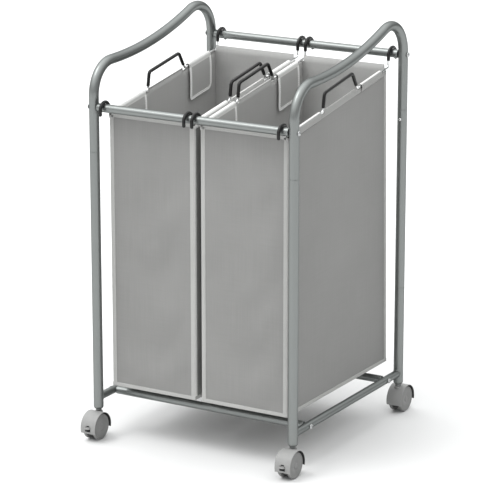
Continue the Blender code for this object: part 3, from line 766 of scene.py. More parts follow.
def make_side_rail(side, side_x):
    """A rail along the depth, its ends coped round the posts and welded to them."""
    x, bore = side_x * POST_X, RAIL_R - WALL
    ends = [((x, -POST_Y, RAIL_Z), RAIL_R, bore), ((x, POST_Y, RAIL_Z), RAIL_R, bore)]
    holes = []
    for side_y in (-1, 1):
        y, low, high = side_y * POST_Y, RAIL_Z - 2 * POST_R, RAIL_Z + 2 * POST_R
        holes.append(rod((x, y, low), (x, y, high), POST_R + GAP, 96))
        holes.append(rod_x((x, side_y * CROSS_RAIL_Y, RAIL_Z), RAIL_R + REACH, SHANK_R + GAP))
    piece(f"{side}_rail_tube", carved(tube(ends), *holes), PAINT, "frame", [f"{side}_side_rail"])
    for end, side_y in (("front", -1), ("rear", 1)):
        piece(f"{end}_{side}_rail_weld", weld_bead(x, side_y), PAINT, "frame", sharp=80)


def make_crossbar(node, y, z, radius, neighbour_r):
    """A tube along the width, flat-ended, with a threaded nut formed in each end."""
    half = POST_X - neighbour_r - GAP
    nut_end, edge = half - NUT_LENGTH, BAR_EDGE
    thread, bore = SHANK_R + GAP, radius - WALL
    ends = [
        (-half, radius - edge, thread), (-half + edge / 3, radius - edge / 3, thread),
        (-half + edge, radius, thread), (-nut_end, radius, thread),
        (-nut_end + STEP, radius, bore),
    ]
    stations = [((x, y, z), outer, hole) for x, outer, hole in ends]
    stations += [((-x, y, z), outer, hole) for x, outer, hole in reversed(ends)]
    piece(f"{node}_tube", tube(stations, side=(0, 1, 0)), PAINT, "frame", [node])


def make_screw(node, side_x, y, z, neighbour_r):
    """A domed screw driven inwards along X, with a hexagonal recess in its head."""
    under_head, tip = neighbour_r + GAP, -neighbour_r - THREAD_DEPTH
    profile = [(0, tip), (SHANK_R, tip), (SHANK_R, under_head)]
    profile += [(HEAD_R - STEP, under_head), (HEAD_R, under_head + STEP)]
    profile += dome(HEAD_R, under_head + HEAD_RIM, HEAD_HEIGHT - HEAD_RIM)
    low, high = under_head + HEAD_HEIGHT - RECESS_DEPTH, under_head + HEAD_HEIGHT + REACH
    recess = turned([(0, low), (RECESS_R, low), (RECESS_R, high), (0, high)], 6)
    solid = along(carved(turned(profile, 40), recess), (side_x, 0, 0))
    piece(f"{node}_domed", solid, SCREW, "frame", [node], (side_x * POST_X, y, z))


def make_frame():
    for side, side_x in SIDES:
        make_handle(side, side_x)
        make_side_rail(side, side_x)
    for end, side_y, bar_z in (("front", -1, FRONT_BAR_Z), ("rear", 1, REAR_BAR_Z)):
        make_crossbar(f"{end}_top_bar", side_y * POST_Y, bar_z, BAR_R, POST_R)
        make_crossbar(f"{end}_cross_rail", side_y * CROSS_RAIL_Y, RAIL_Z, RAIL_R, RAIL_R)
        for side, side_x in SIDES:
            make_screw(f"{end}_{side}_bar_screw", side_x, side_y * POST_Y, bar_z, POST_R)
            make_screw(f"{end}_{side}_rail_bolt", side_x, side_y * CROSS_RAIL_Y, RAIL_Z, RAIL_R)
    for corner, side_x, side_y in CORNERS:
        make_post(corner, side_x, side_y)
        make_socket(corner, side_x, side_y)
        make_button(corner, side_x, side_y)


# ---- casters ----


def hood_band():
    """The hood's wall over both wheels: a rounded section swept about the axle, longest at the front."""
    shoulder, swept = WHEEL_OUTER_X - 0.0015, pi + HOOD_SKIRT + HOOD_REAR_SKIRT
    section = rounded_outline([
        (-shoulder, HOOD_BORE_R, STEP), (-shoulder, HOOD_LIP_R, STEP),
        (-HOOD_HALF_WIDTH, HOOD_LIP_R, STEP), (-HOOD_HALF_WIDTH, HOOD_R, HOOD_EDGE),
        (HOOD_HALF_WIDTH, HOOD_R, HOOD_EDGE), (HOOD_HALF_WIDTH, HOOD_LIP_R, STEP),
        (shoulder, HOOD_LIP_R, STEP), (shoulder, HOOD_BORE_R, STEP),
    ])
    rings = []
    for k in range(HOOD_STEPS + 1):
        angle = swept * k / HOOD_STEPS - HOOD_REAR_SKIRT
        rings.append([(x, r * cos(angle), r * sin(angle)) for x, r in section])
    return loft(rings)


def core_outline(stem_side, braked):
    """The hood's middle block in YZ about the axle: it carries the stem, the axle and any brake lever."""
    wall_r = (HOOD_R + HOOD_BORE_R) / 2

    def on_wall(y):
        return stem_side * y, sqrt(wall_r**2 - y**2)

    far = BRAKE_WEB_FAR if braked else HUB_HALF
    points = [
        (-stem_side * far, -HUB_HALF),
        (-stem_side * min(far, CORE_FOOT_FAR), -CORE_DROP),
        (stem_side * (HUB_HALF if braked else CORE_FOOT_FAR), -CORE_DROP),
        (stem_side * WEB_FAR, WEB_FOOT),
    ]
    points += [on_wall(y) for y in (WEB_FAR, 0.015, TRAIL, 0.007, WEB_NEAR, 0, -HUB_HALF)]
    if braked:
        points += [on_wall(-y) for y in (0.0105, BRAKE_WEB_NEAR, 0.018, BRAKE_WEB_FAR)]
    return points


def hood_solid(offset, stem_side, braked):
    """The hood about its axle, with the boss for the stem and, on a braked one, the lever's slot."""
    foot, top = BOSS_FOOT_Z - WHEEL_R, BOSS_TOP_Z - WHEEL_R
    bore_foot = STEM_FOOT_Z - GAP - WHEEL_R
    reach = CORE_HALF_WIDTH + REACH
    boss = turned([
        (0, foot), (BOSS_R, foot), (BOSS_R, top - 0.0008), (BOSS_R - 0.0003, top - 0.0002),
        (BOSS_R - 0.0009, top), (0, top),
    ])
    core = prism(core_outline(stem_side, braked), CORE_HALF_WIDTH)
    holes = [
        rod((0, -offset, bore_foot), (0, -offset, top + REACH), STEM_R + GAP),
        rod_x((0, 0, 0), reach, AXLE_R + GAP),
    ]
    if braked:
        slot, front = LEVER_HALF_WIDTH + GAP, -HOOD_R - REACH
        holes.append(block((-slot, front, -SLOT_UNDER), (slot, -SLOT_BACK, SLOT_STEP)))
        holes.append(block((-SLIT, front, SLOT_STEP - REACH), (SLIT, -SLIT_BACK, SLOT_TOP)))
        holes.append(rod_x((0, LEVER_PIN_Y, LEVER_PIN_Z), reach, LEVER_PIN_R + GAP))
    return carved(hood_band(), *holes, joins=(core, moved(boss, (0, -offset, 0))))


def wheel_solid(sign):
    """One wheel about its axle: a crowned tread, a raised rim, a dished face and a small hub cap."""
    face, inner, hole = WHEEL_OUTER_X, WHEEL_INNER_X, AXLE_R + GAP
    outside = [
        (0, 0.0002), (0.0035, 0.0003), (0.0055, 0.0007), (0.0060, 0.0013), (0.0068, 0.0014),
        (0.0076, 0.0009), (0.0150, 0.0007), (0.0205, 0.0008), (0.0212, 0.0010), (0.0218, 0.0008),
        (0.0224, 0.0002), (0.0232, 0), (0.0243, 0.0002), (0.0250, 0.0008), (0.0254, 0.0017),
    ]
    inside = [(0.0254, 0.0014), (0.0250, 0.0006), (0.0244, 0.0001), (0.0238, 0)]
    profile = [(radius, face - depth) for radius, depth in outside]
    profile += [(WHEEL_R, (face + inner) / 2), *((radius, inner + depth) for radius, depth in inside)]
    profile += [(hole, inner), (hole, face - HUB_FLOOR), (0, face - HUB_FLOOR)]
    return rotated(turned(profile, 72), sign * pi / 2, "Y")


def lever_solid():
    """The brake lever about its pin: an arm with a round-cornered tab at its end, and the pin."""
    outline = rounded_outline([
        (-0.0170, 0.0036, 0.0015), (-0.0170, 0.0012, 0.0006), (-0.0100, 0.0008, 0.0030),
        (-0.0060, -0.0023, 0.0030), (0.0025, -0.0023, 0.0010), (0.0025, 0.0024, 0.0010),
        (-0.0080, 0.0036, 0.0030),
    ])
    plan = rounded_outline([
        (-LEVER_REACH, 0.0060, 0.0042), (-LEVER_REACH, -0.0060, 0.0042),
        (-0.0134, -0.0062, 0.0008), (-0.0134, 0.0062, 0.0008),
    ])
    paddle = moved(rotated(prism(plan, PADDLE_HALF), pi / 2, "Y"), (0, 0, PADDLE_RISE))
    pin = rod_x((0, 0, 0), CORE_HALF_WIDTH - STEP, LEVER_PIN_R)
    return joined(prism(outline, LEVER_HALF_WIDTH), paddle, pin)


def stem_solid():
    collar_foot, collar_top = BOSS_TOP_Z + GAP, SOCKET_FOOT_Z - GAP
    edge = 0.0004
    return turned([
        (0, STEM_FOOT_Z), (STEM_R, STEM_FOOT_Z), (STEM_R, collar_foot),
        (STEM_COLLAR_R - edge, collar_foot), (STEM_COLLAR_R, collar_foot + edge),
        (STEM_COLLAR_R, collar_top - edge), (STEM_COLLAR_R - edge, collar_top),
        (STEM_PLUG_R, collar_top), (STEM_PLUG_R, STEM_TOP_Z - 0.001),
        (STEM_PLUG_R - 0.001, STEM_TOP_Z), (0, STEM_TOP_Z),
    ])


def make_caster(corner, side_x, side_y):
    """A twin-wheel caster. Both ends' hoods face forwards; only the front pair has brake levers."""
    braked, offset = side_y < 0, side_y * TRAIL
    x, y = side_x * POST_X, side_y * POST_Y
    axle_place = (x, y + offset, WHEEL_R)
    node, swivel = f"{corner}_caster", f"{corner}_swivel"
    piece(f"{node}_stem_pin", stem_solid(), STEEL, "frame", [f"{node}_stem"], (x, y, 0))
    hood = hood_solid(offset, -side_y, braked)
    shell = piece(f"{node}_hood_shell", hood, HOOD, swivel, [f"{node}_hood"], axle_place)
    # Painted shade on the hood's surfaces that face the wheels.
    paint_hood_shade(shell, HOOD_PAINTED_SHADE)
    soften(shell, 0.0004, 2, 50)
    axle = rod_x((0, 0, 0), WHEEL_OUTER_X - AXLE_INSET, AXLE_R, 32)
    piece(f"{node}_axle_pin", axle, STEEL, swivel, [f"{node}_axle"], axle_place)
    for side, sign in SIDES:
        body, replaced = f"{corner}_{side}_wheel", f"{node}_{side}_wheel"
        piece(f"{node}_{side}_tyre", wheel_solid(sign), WHEEL, body, [replaced], axle_place)
    if braked:
        place = Vector(axle_place) + Vector((0, LEVER_PIN_Y, LEVER_PIN_Z))
        body, replaced = f"{corner}_brake", f"{corner}_brake_lever"
        lever = piece(f"{corner}_brake_tab", lever_solid(), HOOD, body, [replaced], place)
        soften(lever, 0.0005, 3, 50)


# ---- wires ----


def wire_z(y):
    """Height of a bag wire's straight run at this depth."""
    return WIRE_MID_Z + WIRE_SLOPE * y


def hook_path(side_y, bar_z, coating_drop):
    """A coated hook over a crossbar, from its free tip down to where its inner leg's coating ends."""
    centre_z = bar_z + BAR_R + GAP + COATED_R - HOOK_R
    outer_y, inner_y, top_z = side_y * (POST_Y + HOOK_R), side_y * HOOK_INNER_Y, centre_z + HOOK_R
    corners = [
        (outer_y, centre_z - HOOK_TIP_DROP, 0), (outer_y, top_z, HOOK_R), (inner_y, top_z, HOOK_R),
        (inner_y, centre_z - coating_drop, 0),
    ]
    return rounded_path(corners, 14)


def carry_corners():
    """The raised carry loop's corners: two feet on the wire's straight run and the two ends of the grip."""
    return [
        (LOOP_FRONT_FOOT_Y, wire_z(LOOP_FRONT_FOOT_Y), WIRE_BEND_R),
        (*LOOP_FRONT, LOOP_BEND_R),
        (*LOOP_REAR, LOOP_BEND_R),
        (LOOP_REAR_FOOT_Y, wire_z(LOOP_REAR_FOOT_Y), WIRE_BEND_R),
    ]


def wire_path(front, rear):
    """The bare wire between its two hooks' coatings."""
    return rounded_path([
        (*front[-1], 0),
        (-HOOK_INNER_Y, wire_z(-HOOK_INNER_Y), WIRE_BEND_R),
        *carry_corners(),
        (HOOK_INNER_Y, wire_z(HOOK_INNER_Y), WIRE_BEND_R),
        (*rear[-1], 0),
    ])


def grip_path():
    """The sleeve on the carry loop, between its two feet."""
    front, front_top, rear_top, rear = carry_corners()
    front_start = Vector(front[:2]).lerp(Vector(front_top[:2]), GRIP_START)
    rear_start = Vector(rear[:2]).lerp(Vector(rear_top[:2]), GRIP_START)
    return rounded_path([(*front_start, 0), front_top, rear_top, (*rear_start, 0)])


def dipped(path, x, radius, start_r, end_r):
    """A coating on a path, tapering over a bead at each end to the radius given."""
    ramp = ((0.0, 0.0), (0.12, 0.45), (0.35, 0.78), (0.65, 0.95), (1.0, 1.0))
    first, last = (path[1] - path[0]).normalized(), (path[-2] - path[-1]).normalized()
    stations = []
    for share, grown in ramp:
        stations.append(((x, *(path[0] + first * radius * share)), start_r + (radius - start_r) * grown, 0))
    stations += [((x, *point), radius, 0) for point in path[1:-1]]
    for share, grown in reversed(ramp):
        stations.append(((x, *(path[-1] + last * radius * share)), end_r + (radius - end_r) * grown, 0))
    return tube(stations, WIRE_SIDES)


def make_wire(bag_side, wire_side, x):
    node, body = f"{bag_side}_bag_{wire_side}", f"{bag_side}_bag_on_wires"
    hooks = {
        "front": hook_path(-1, FRONT_BAR_Z, FRONT_COATING_DROP),
        "rear": hook_path(1, REAR_BAR_Z, REAR_COATING_DROP),
    }
    bare = tube(on_plane(wire_path(hooks["front"], hooks["rear"]), x, WIRE_R), WIRE_SIDES)
    piece(f"{node}_bare_wire", bare, BRIGHT, body, [f"{node}_wire"])
    for end, path in hooks.items():
        piece(f"{node}_{end}_hook_coating", dipped(path, x, COATED_R, 0.0004, WIRE_R + STEP), VINYL, body)
    grip = dipped(grip_path(), x, COATED_R, WIRE_R + STEP, WIRE_R + STEP)
    piece(f"{node}_grip_sleeve", grip, VINYL, body, [f"{node}_grip"])


# ---- bags ----


def spaced(stops, cell):
    """Values from the first stop to the last through every stop, no further apart than a cell."""
    made = [stops[0]]
    for low, high in zip(stops, stops[1:]):
        count = max(1, ceil((high - low) / cell))
        made += [low + (high - low) * k / count for k in range(1, count + 1)]
    return made


def stepped(value, steps):
    """The level of a stepped profile, given as (from value, level) pairs."""
    return [level for start, level in steps if value >= start - 1e-6][-1]


def front_y(z):
    """Depth of the front wall, which hangs plumb."""
    return BAG_FRONT_Y


def rear_y(z):
    """Depth of the rear wall, which leans back towards its foot."""
    share = (z - BAG_FLOOR_Z) / (REAR_HEM_Z - BAG_FLOOR_Z)
    return BAG_REAR_FOOT_Y + (BAG_REAR_TOP_Y - BAG_REAR_FOOT_Y) * share


# A side wall's top edge, in steps measured from the wire's height: a notch at each end where the wire
# leaves the bag, and between them the stretches in a sleeve, under the bare wire and under the loop.
NOTCH = WIRE_R + 2 * GAP
LOOP_ZONE = (-0.058, 0.063)
RAMP = 0.001
IN_SLEEVE, UNDER_WIRE, UNDER_LOOP = -0.0030, -0.0036, 0.0020
SIDE_TOPS = (
    (BAG_FRONT_Y, -NOTCH), (BAG_FRONT_Y + 3 * RAMP, IN_SLEEVE),
    (FRONT_SLEEVE[1] + RAMP, UNDER_WIRE), (LOOP_ZONE[0], UNDER_LOOP),
    (LOOP_ZONE[1] + RAMP, UNDER_WIRE), (REAR_SLEEVE[0], IN_SLEEVE),
    (REAR_SLEEVE[1] + RAMP, UNDER_WIRE), (BAG_REAR_TOP_Y - RAMP, -NOTCH),
)
SIDE_STOPS = sorted([
    *(start for start, _ in SIDE_TOPS),
    *(LOOP_ZONE[0] - RAMP, LOOP_ZONE[1], REAR_SLEEVE[0] - RAMP, FRONT_SLEEVE[1], REAR_SLEEVE[1]),
    *(BAG_FRONT_Y + TAPE_EDGE, BAG_REAR_TOP_Y - TAPE_EDGE, BAG_REAR_TOP_Y),
])


def wall_tops(low_x, high_x, y, hem_z):
    """Top edge of a front or rear wall: level between two notches for the wires."""
    corner = wire_z(y) - NOTCH
    return ((low_x, corner), (low_x + NOTCH + RAMP, hem_z), (high_x - NOTCH, corner))


def bag_cloth(low_x, high_x):
    """The bag's five panels as one open shell of cloth, sewn along its corners and round its floor."""
    bm = bmesh.new()
    rows = [0, TAPE_EDGE / (FRONT_HEM_Z - BAG_FLOOR_Z)]
    rows += [k / CLOTH_ROWS for k in range(1, CLOTH_ROWS + 1)]
    depths = spaced(SIDE_STOPS, CLOTH_CELL)
    shares = [(y - BAG_FRONT_Y) / (BAG_REAR_TOP_Y - BAG_FRONT_Y) for y in depths]
    near = (0, NOTCH, NOTCH + RAMP, TAPE_EDGE)
    xs = spaced([low_x + step for step in near] + [high_x - step for step in reversed(near)], CLOTH_CELL)

    def grid(columns):
        made = [[bm.verts.new(point) for point in column] for column in columns]
        for first, second in zip(made, made[1:]):
            bridge(bm, first, second, closed=False)

    def height(row, top):
        return BAG_FLOOR_Z + row * (top - BAG_FLOOR_Z)

    for x in (low_x, high_x):
        columns = []
        for y, share in zip(depths, shares):
            top = wire_z(y) + stepped(y, SIDE_TOPS)
            heights = [height(row, top) for row in rows]
            columns.append([(x, BAG_FRONT_Y + share * (rear_y(z) - BAG_FRONT_Y), z) for z in heights])
        grid(columns)
    for y, hem_z, depth_at in ((BAG_FRONT_Y, FRONT_HEM_Z, front_y), (BAG_REAR_TOP_Y, REAR_HEM_Z, rear_y)):
        tops = wall_tops(low_x, high_x, y, hem_z)
        columns = [[height(row, stepped(x, tops)) for row in rows] for x in xs]
        grid([[(x, depth_at(z), z) for z in heights] for x, heights in zip(xs, columns)])
    foot = BAG_REAR_FOOT_Y - BAG_FRONT_Y
    grid([[(x, BAG_FRONT_Y + share * foot, BAG_FLOOR_Z) for share in shares] for x in xs])
    bmesh.ops.remove_doubles(bm, verts=bm.verts, dist=2e-4)
    return bm


def is_sewn(point, low_x, high_x):
    """Whether a point of the shell is on a seam, or under its tape or a sleeve."""
    x, y, z = point
    apart = sorted((min(x - low_x, high_x - x), min(y - BAG_FRONT_Y, rear_y(z) - y), z - BAG_FLOOR_Z))
    return apart[1] < TAPE_EDGE + STEP or z > wire_z(y) - SEWN_TOP


def sag(obj, low_x, high_x):
    """Lets the cloth settle under its own weight between its seams, no further than the cap."""
    rest = [v.co.copy() for v in obj.data.vertices]
    pins = obj.vertex_groups.new(name="sewn")
    pins.add([i for i, co in enumerate(rest) if is_sewn(co, low_x, high_x)], 1.0, "REPLACE")
    cloth = obj.modifiers.new("settle", "CLOTH")
    settings = cloth.settings
    settings.vertex_group_mass = pins.name
    settings.quality, settings.mass = 6, 0.02
    settings.tension_stiffness = settings.compression_stiffness = 30
    settings.shear_stiffness, settings.bending_stiffness = 10, 0.8
    settings.shrink_min = -0.003
    scene = bpy.context.scene
    scene.frame_start, scene.frame_end = 1, SETTLE_FRAMES
    cloth.point_cache.frame_start, cloth.point_cache.frame_end = 1, SETTLE_FRAMES
    for number in range(1, SETTLE_FRAMES + 1):
        scene.frame_set(number)
    shown = obj.evaluated_get(bpy.context.evaluated_depsgraph_get()).to_mesh()
    settled = [v.co.copy() for v in shown.vertices]
    obj.modifiers.remove(cloth)
    obj.vertex_groups.remove(pins)
    for vertex, start, end in zip(obj.data.vertices, rest, settled):
        shift = end - start
        cap = FLOOR_SAG_CAP if abs(start.z - BAG_FLOOR_Z) < 1e-4 else SAG_CAP
        vertex.co = start + shift * min(1.0, cap / max(shift.length, 1e-9))
    scene.frame_set(1)


def faces_gap(x):
    """Whether the wall at this x looks across the gap between the bags."""
    return abs(x) < POST_X / 2


def band_or_gap_painted_light(x):
    """The tape outside a side wall's top: paler across the gap between the bags, as painted light in the
    gap's shade.
    """
    return PAINTED_LIGHT_TAPE if faces_gap(x) else BAND


def flap_hang(depth, across):
    """How far inside the wall a flap hangs at this depth below the wire, with a soft wave across it."""
    share = min(1.0, depth / FLAP_DEPTH)
    wave = FLAP_WAVE * sin(FLAP_WAVE_TURN * across + FLAP_WAVE_START) * share
    belly = FLAP_BELLY * sin(pi * share)
    return SLEEVE_R + (FLAP_STAND - SLEEVE_R) * min(1.0, share / FLAP_EASE) + wave + belly


def flap_foot(y, start, end):
    """Depth of a flap's bottom edge at y, rising where its corners are rounded."""
    for radius, inside in ((FLAP_FRONT_CORNER, y - start), (FLAP_REAR_CORNER, end - y)):
        if inside < radius:
            return FLAP_DEPTH - radius + sqrt(max(0.0, radius**2 - (radius - inside) ** 2))
    return FLAP_DEPTH


def sleeve_section(foot, across):
    """Points (outwards, up) about the wire: up from the outer stitches, over the wire, down as the flap."""
    outer = (BAND_PROUD, -BAND_DEPTH)
    first = atan2(outer[1], outer[0]) + acos(SLEEVE_R / hypot(*outer))
    points = [outer, ((outer[0] + SLEEVE_R) / 2, -BAND_DEPTH / 2)]
    points += arc((0, 0), SLEEVE_R, first, SLEEVE_WRAP, 18)
    depths = [foot * k / FLAP_ROWS for k in range(1, FLAP_ROWS + 1)]
    return points + [(-flap_hang(depth, across), -depth) for depth in depths]


SLEEVE_ROWS = 21  # rows of a sleeve's section that are tape, before the flap's grey cloth
BAND_ROWS = 8  # rows of that tape that face outwards


def make_sleeve(name, body, x, outward, span):
    """One sleeve over a wire with its hanging flap: a single sheet, sewn down outside the wall."""
    start, end = span
    ys = {*spaced((start, start + FLAP_FRONT_CORNER, end - FLAP_REAR_CORNER, end), FLAP_CELL)}
    ys |= {start + FLAP_FRONT_CORNER * k / 6 for k in range(7)}
    ys |= {end - FLAP_REAR_CORNER * k / 8 for k in range(9)}
    bm = bmesh.new()
    rows = []
    for y in sorted(ys):
        across = (y - start) / (end - start)
        section = sleeve_section(flap_foot(y, start, end), across)
        rows.append([bm.verts.new((x + outward * out, y, wire_z(y) + up)) for out, up in section])
    for first, second in zip(rows, rows[1:]):
        bridge(bm, first, second, closed=False)
    # The sleeve's tape over the wire is painted light, a paler copy of the binding on its lit top; the flap's
    # cloth is the paler inside cloth, also painted light; the outward rows take the side band, paler across
    # the gap as painted light.
    obj = piece(name, bm, PAINTED_LIGHT_TAPE, body, sharp=80)
    for finish in (PAINTED_LIGHT_CLOTH, band_or_gap_painted_light(x)):
        obj.data.materials.append(finish[0])
    per_strip = len(rows[0]) - 1
    for polygon in obj.data.polygons:
        row = polygon.index % per_strip
        polygon.material_index = 1 if row >= SLEEVE_ROWS else 2 if row < BAND_ROWS else 0
    solid = obj.modifiers.new("thickness", "SOLIDIFY")
    solid.thickness, solid.offset = CLOTH, 0.0


def flap_edge(start, end):
    """The flap's free edge in (y, depth below the wire), from one top corner round to the other."""
    path = rounded_path([
        (start, FLAP_TAPE_TOP, 0), (start, FLAP_DEPTH, FLAP_FRONT_CORNER),
        (end, FLAP_DEPTH, FLAP_REAR_CORNER), (end, FLAP_TAPE_TOP, 0),
    ], 8)
    made = [path[0]]
    for here in path[1:]:
        gap = here - made[-1]
        count = max(1, ceil(gap.length / FLAP_EDGE_CELL))
        made += [made[-1] + gap / count * k for k in range(1, count + 1)]
    return made


def flap_binding(x, outward, start, end):
    """A tape folded over the flap's edge."""
    path = flap_edge(start, end)
    section = [(-3 * STEP, 0), (-STEP, 1), (FLAP_TAPE, 1), (FLAP_TAPE, -1), (-STEP, -1)]
    rings = []
    for here, heading in zip(path, headings(path)):
        inward = Vector((heading.y, -heading.x))
        ring = []
        for reach, side in section:
            y, depth = here + inward * reach
            out = side * TAPE_HALF - flap_hang(depth, (y - start) / (end - start))
            ring.append((x + outward * out, y, wire_z(y) - depth))
        rings.append(ring)
    return loft(rings)


def top_band(x, outward, start, end):
    """The tape along the outside of a side wall's bare top edge, folded over it."""
    rings = []
    for y in spaced([start, *(stop for stop in SIDE_STOPS if start < stop < end), end], TOP_TAPE_CELL):
        top = stepped(y, SIDE_TOPS) + FOLD
        ring = [
            (TOP_TAPE_PROUD, -BAND_DEPTH), (TOP_TAPE_PROUD, top - 0.0007), (FOLD, top),
            (-TAPE_HALF, top), (-TAPE_HALF, top - 3 * FOLD), (0, top - 3 * FOLD), (0, -BAND_DEPTH),
        ]
        rings.append([(x + outward * out, y, wire_z(y) + up) for out, up in ring])
    return loft(rings)


def corner_tape(x, sign_x, line, sign_y):
    """A tape folded round an upright seam: line gives (y, z) points up the corner."""
    inner, proud = CLOTH / 2 - STEP / 2, TAPE_PROUD
    section = rounded_outline([
        (proud, proud, 0.0014), (proud, -TAPE_WIDTH, 0.0004), (inner, -TAPE_WIDTH, 0),
        (inner, inner, 0), (-TAPE_WIDTH, inner, 0), (-TAPE_WIDTH, proud, 0.0004),
    ])
    return loft([[(x + sign_x * u, y + sign_y * v, z) for u, v in section] for y, z in line])


def paint_light_across_gap(obj, finish):
    """Gives the faces that look across the gap between the bags a paler finish: painted light in the gap's
    shade.
    """
    obj.data.materials.append(finish[0])
    for polygon in obj.data.polygons:
        polygon.material_index = int(abs(polygon.normal.x) > 0.7)


def corner_line(front):
    """The upright seam's (y, z) points, from the floor up to the notch for the wire."""
    top_y, depth_at = (BAG_FRONT_Y, front_y) if front else (BAG_REAR_TOP_Y, rear_y)
    top = wire_z(top_y) - NOTCH - RAMP
    return [(depth_at(z), z) for z in spaced((BAG_FLOOR_Z, top), TAPE_CELL)]


def bottom_tape(low_x, high_x):
    """A tape folded round the floor's seam, all the way round the bag."""
    inner, proud, under = CLOTH / 2 - STEP / 2, TAPE_PROUD + STEP, CLOTH
    section = rounded_outline([
        (proud, -under, 0.0008), (proud, BOTTOM_TAPE, 0.0004), (inner, BOTTOM_TAPE, 0),
        (inner, -inner, 0), (-BOTTOM_TAPE, -inner, 0), (-BOTTOM_TAPE, -under, 0.0003),
    ])
    rings = []
    for x, sign_x, y, sign_y in (
        (low_x, -1, BAG_FRONT_Y, -1), (high_x, 1, BAG_FRONT_Y, -1),
        (high_x, 1, BAG_REAR_FOOT_Y, 1), (low_x, -1, BAG_REAR_FOOT_Y, 1),
    ):
        lean = (BAG_REAR_TOP_Y - BAG_REAR_FOOT_Y) / (REAR_HEM_Z - BAG_FLOOR_Z) if sign_y > 0 else 0
        rings.append([(x + sign_x * u, y + sign_y * u + lean * v, BAG_FLOOR_Z + v) for u, v in section])
    return loft(rings, loop=True)


def hem(low_x, high_x, depth_at, sign_y, top_z, inside):
    """A tape folded over the top edge of the front or rear wall, between its two notches."""
    section = rounded_outline([
        (TAPE_PROUD, -HEM_DEPTH, 0.0003), (TAPE_PROUD, FOLD, 0.0010),
        (-inside, FOLD, min(0.0010, inside / 2)), (-inside, -HEM_DEPTH, 0),
    ])
    edge = [(depth_at(top_z + up) + sign_y * out, top_z + up) for out, up in section]
    ends = (low_x + NOTCH + 2 * STEP, high_x - NOTCH - 2 * STEP)
    return loft([[(x, y, z) for y, z in edge] for x in spaced(ends, CLOTH_CELL)])


def stitches(bm, line, facing):
    """A run of stitches along a line of points, lying on the side that faces the given way."""
    facing = Vector(facing)
    left_over = STITCH_PITCH / 2
    for start, end in zip(line, line[1:]):
        start, end = Vector(start), Vector(end)
        heading = (end - start).normalized()
        length = (end - start).length
        side = heading.cross(facing).normalized()
        while left_over < length:
            rings = []
            for share, grown in ((-0.5, 0.35), (-0.32, 1.0), (0.32, 1.0), (0.5, 0.35)):
                centre = start + heading * (left_over + share * STITCH_LENGTH)
                rings.append(circle(centre, side, facing, STITCH_R * grown, 6))
            loft(rings, bm=bm)
            left_over += STITCH_PITCH
        left_over -= length


def bag_stitches(low_x, high_x):
    """The seams' visible stitches on the outside of a bag and on its flaps."""
    bm, inset = bmesh.new(), STITCH_INSET
    for x, sign_x in ((low_x, -1), (high_x, 1)):
        band_x = x + sign_x * (BAND_PROUD + CLOTH / 2)
        for start, end in (FRONT_SLEEVE, REAR_SLEEVE):
            ys = spaced((start + 2 * RAMP, end - RAMP), STITCH_CELL)
            stitches(bm, [(band_x, y, wire_z(y) - BAND_DEPTH + inset) for y in ys], (sign_x, 0, 0))
            path = [p for p in flap_edge(start, end) if p.y > FLAP_STITCH_TOP]
            line = []
            for here, heading in zip(path, headings(path)):
                y, depth = here + Vector((heading.y, -heading.x)) * (FLAP_TAPE - inset)
                out = flap_hang(depth, (y - start) / (end - start)) + TAPE_HALF
                line.append((x - sign_x * out, y, wire_z(y) - depth))
            stitches(bm, line, (-sign_x, 0, 0))
        tape_x = x + sign_x * TOP_TAPE_PROUD
        ys = spaced((FRONT_SLEEVE[1] + RAMP, REAR_SLEEVE[0] - RAMP), STITCH_CELL)
        stitches(bm, [(tape_x, y, wire_z(y) - BAND_DEPTH + inset) for y in ys], (sign_x, 0, 0))
        for front, sign_y in ((True, -1), (False, 1)):
            inward = TAPE_WIDTH - inset
            line = corner_line(front)[1:]
            stitches(bm, [(x - sign_x * inward, y + sign_y * TAPE_PROUD, z) for y, z in line], (0, sign_y, 0))
            stitches(bm, [(x + sign_x * TAPE_PROUD, y - sign_y * inward, z) for y, z in line], (sign_x, 0, 0))
        tape_x, level = x + sign_x * (TAPE_PROUD + STEP), BAG_FLOOR_Z + BOTTOM_TAPE - inset
        ys = spaced((BAG_FRONT_Y + FOOT_CLEAR, BAG_REAR_FOOT_Y - FOOT_CLEAR), TAPE_CELL)
        stitches(bm, [(tape_x, y, level) for y in ys], (sign_x, 0, 0))
    for y, sign_y, hem_z in ((BAG_FRONT_Y, -1, FRONT_HEM_Z), (BAG_REAR_TOP_Y, 1, REAR_HEM_Z)):
        xs = spaced((low_x + HEM_CLEAR, high_x - HEM_CLEAR), TAPE_CELL)
        foot_y = y if sign_y < 0 else BAG_REAR_FOOT_Y
        hem_line = (hem_z - HEM_DEPTH + inset, y + sign_y * TAPE_PROUD)
        foot_line = (BAG_FLOOR_Z + BOTTOM_TAPE - inset, foot_y + sign_y * (TAPE_PROUD + STEP))
        for z, at in (hem_line, foot_line):
            stitches(bm, [(x, at, z) for x in xs], (0, sign_y, 0))
    return bm


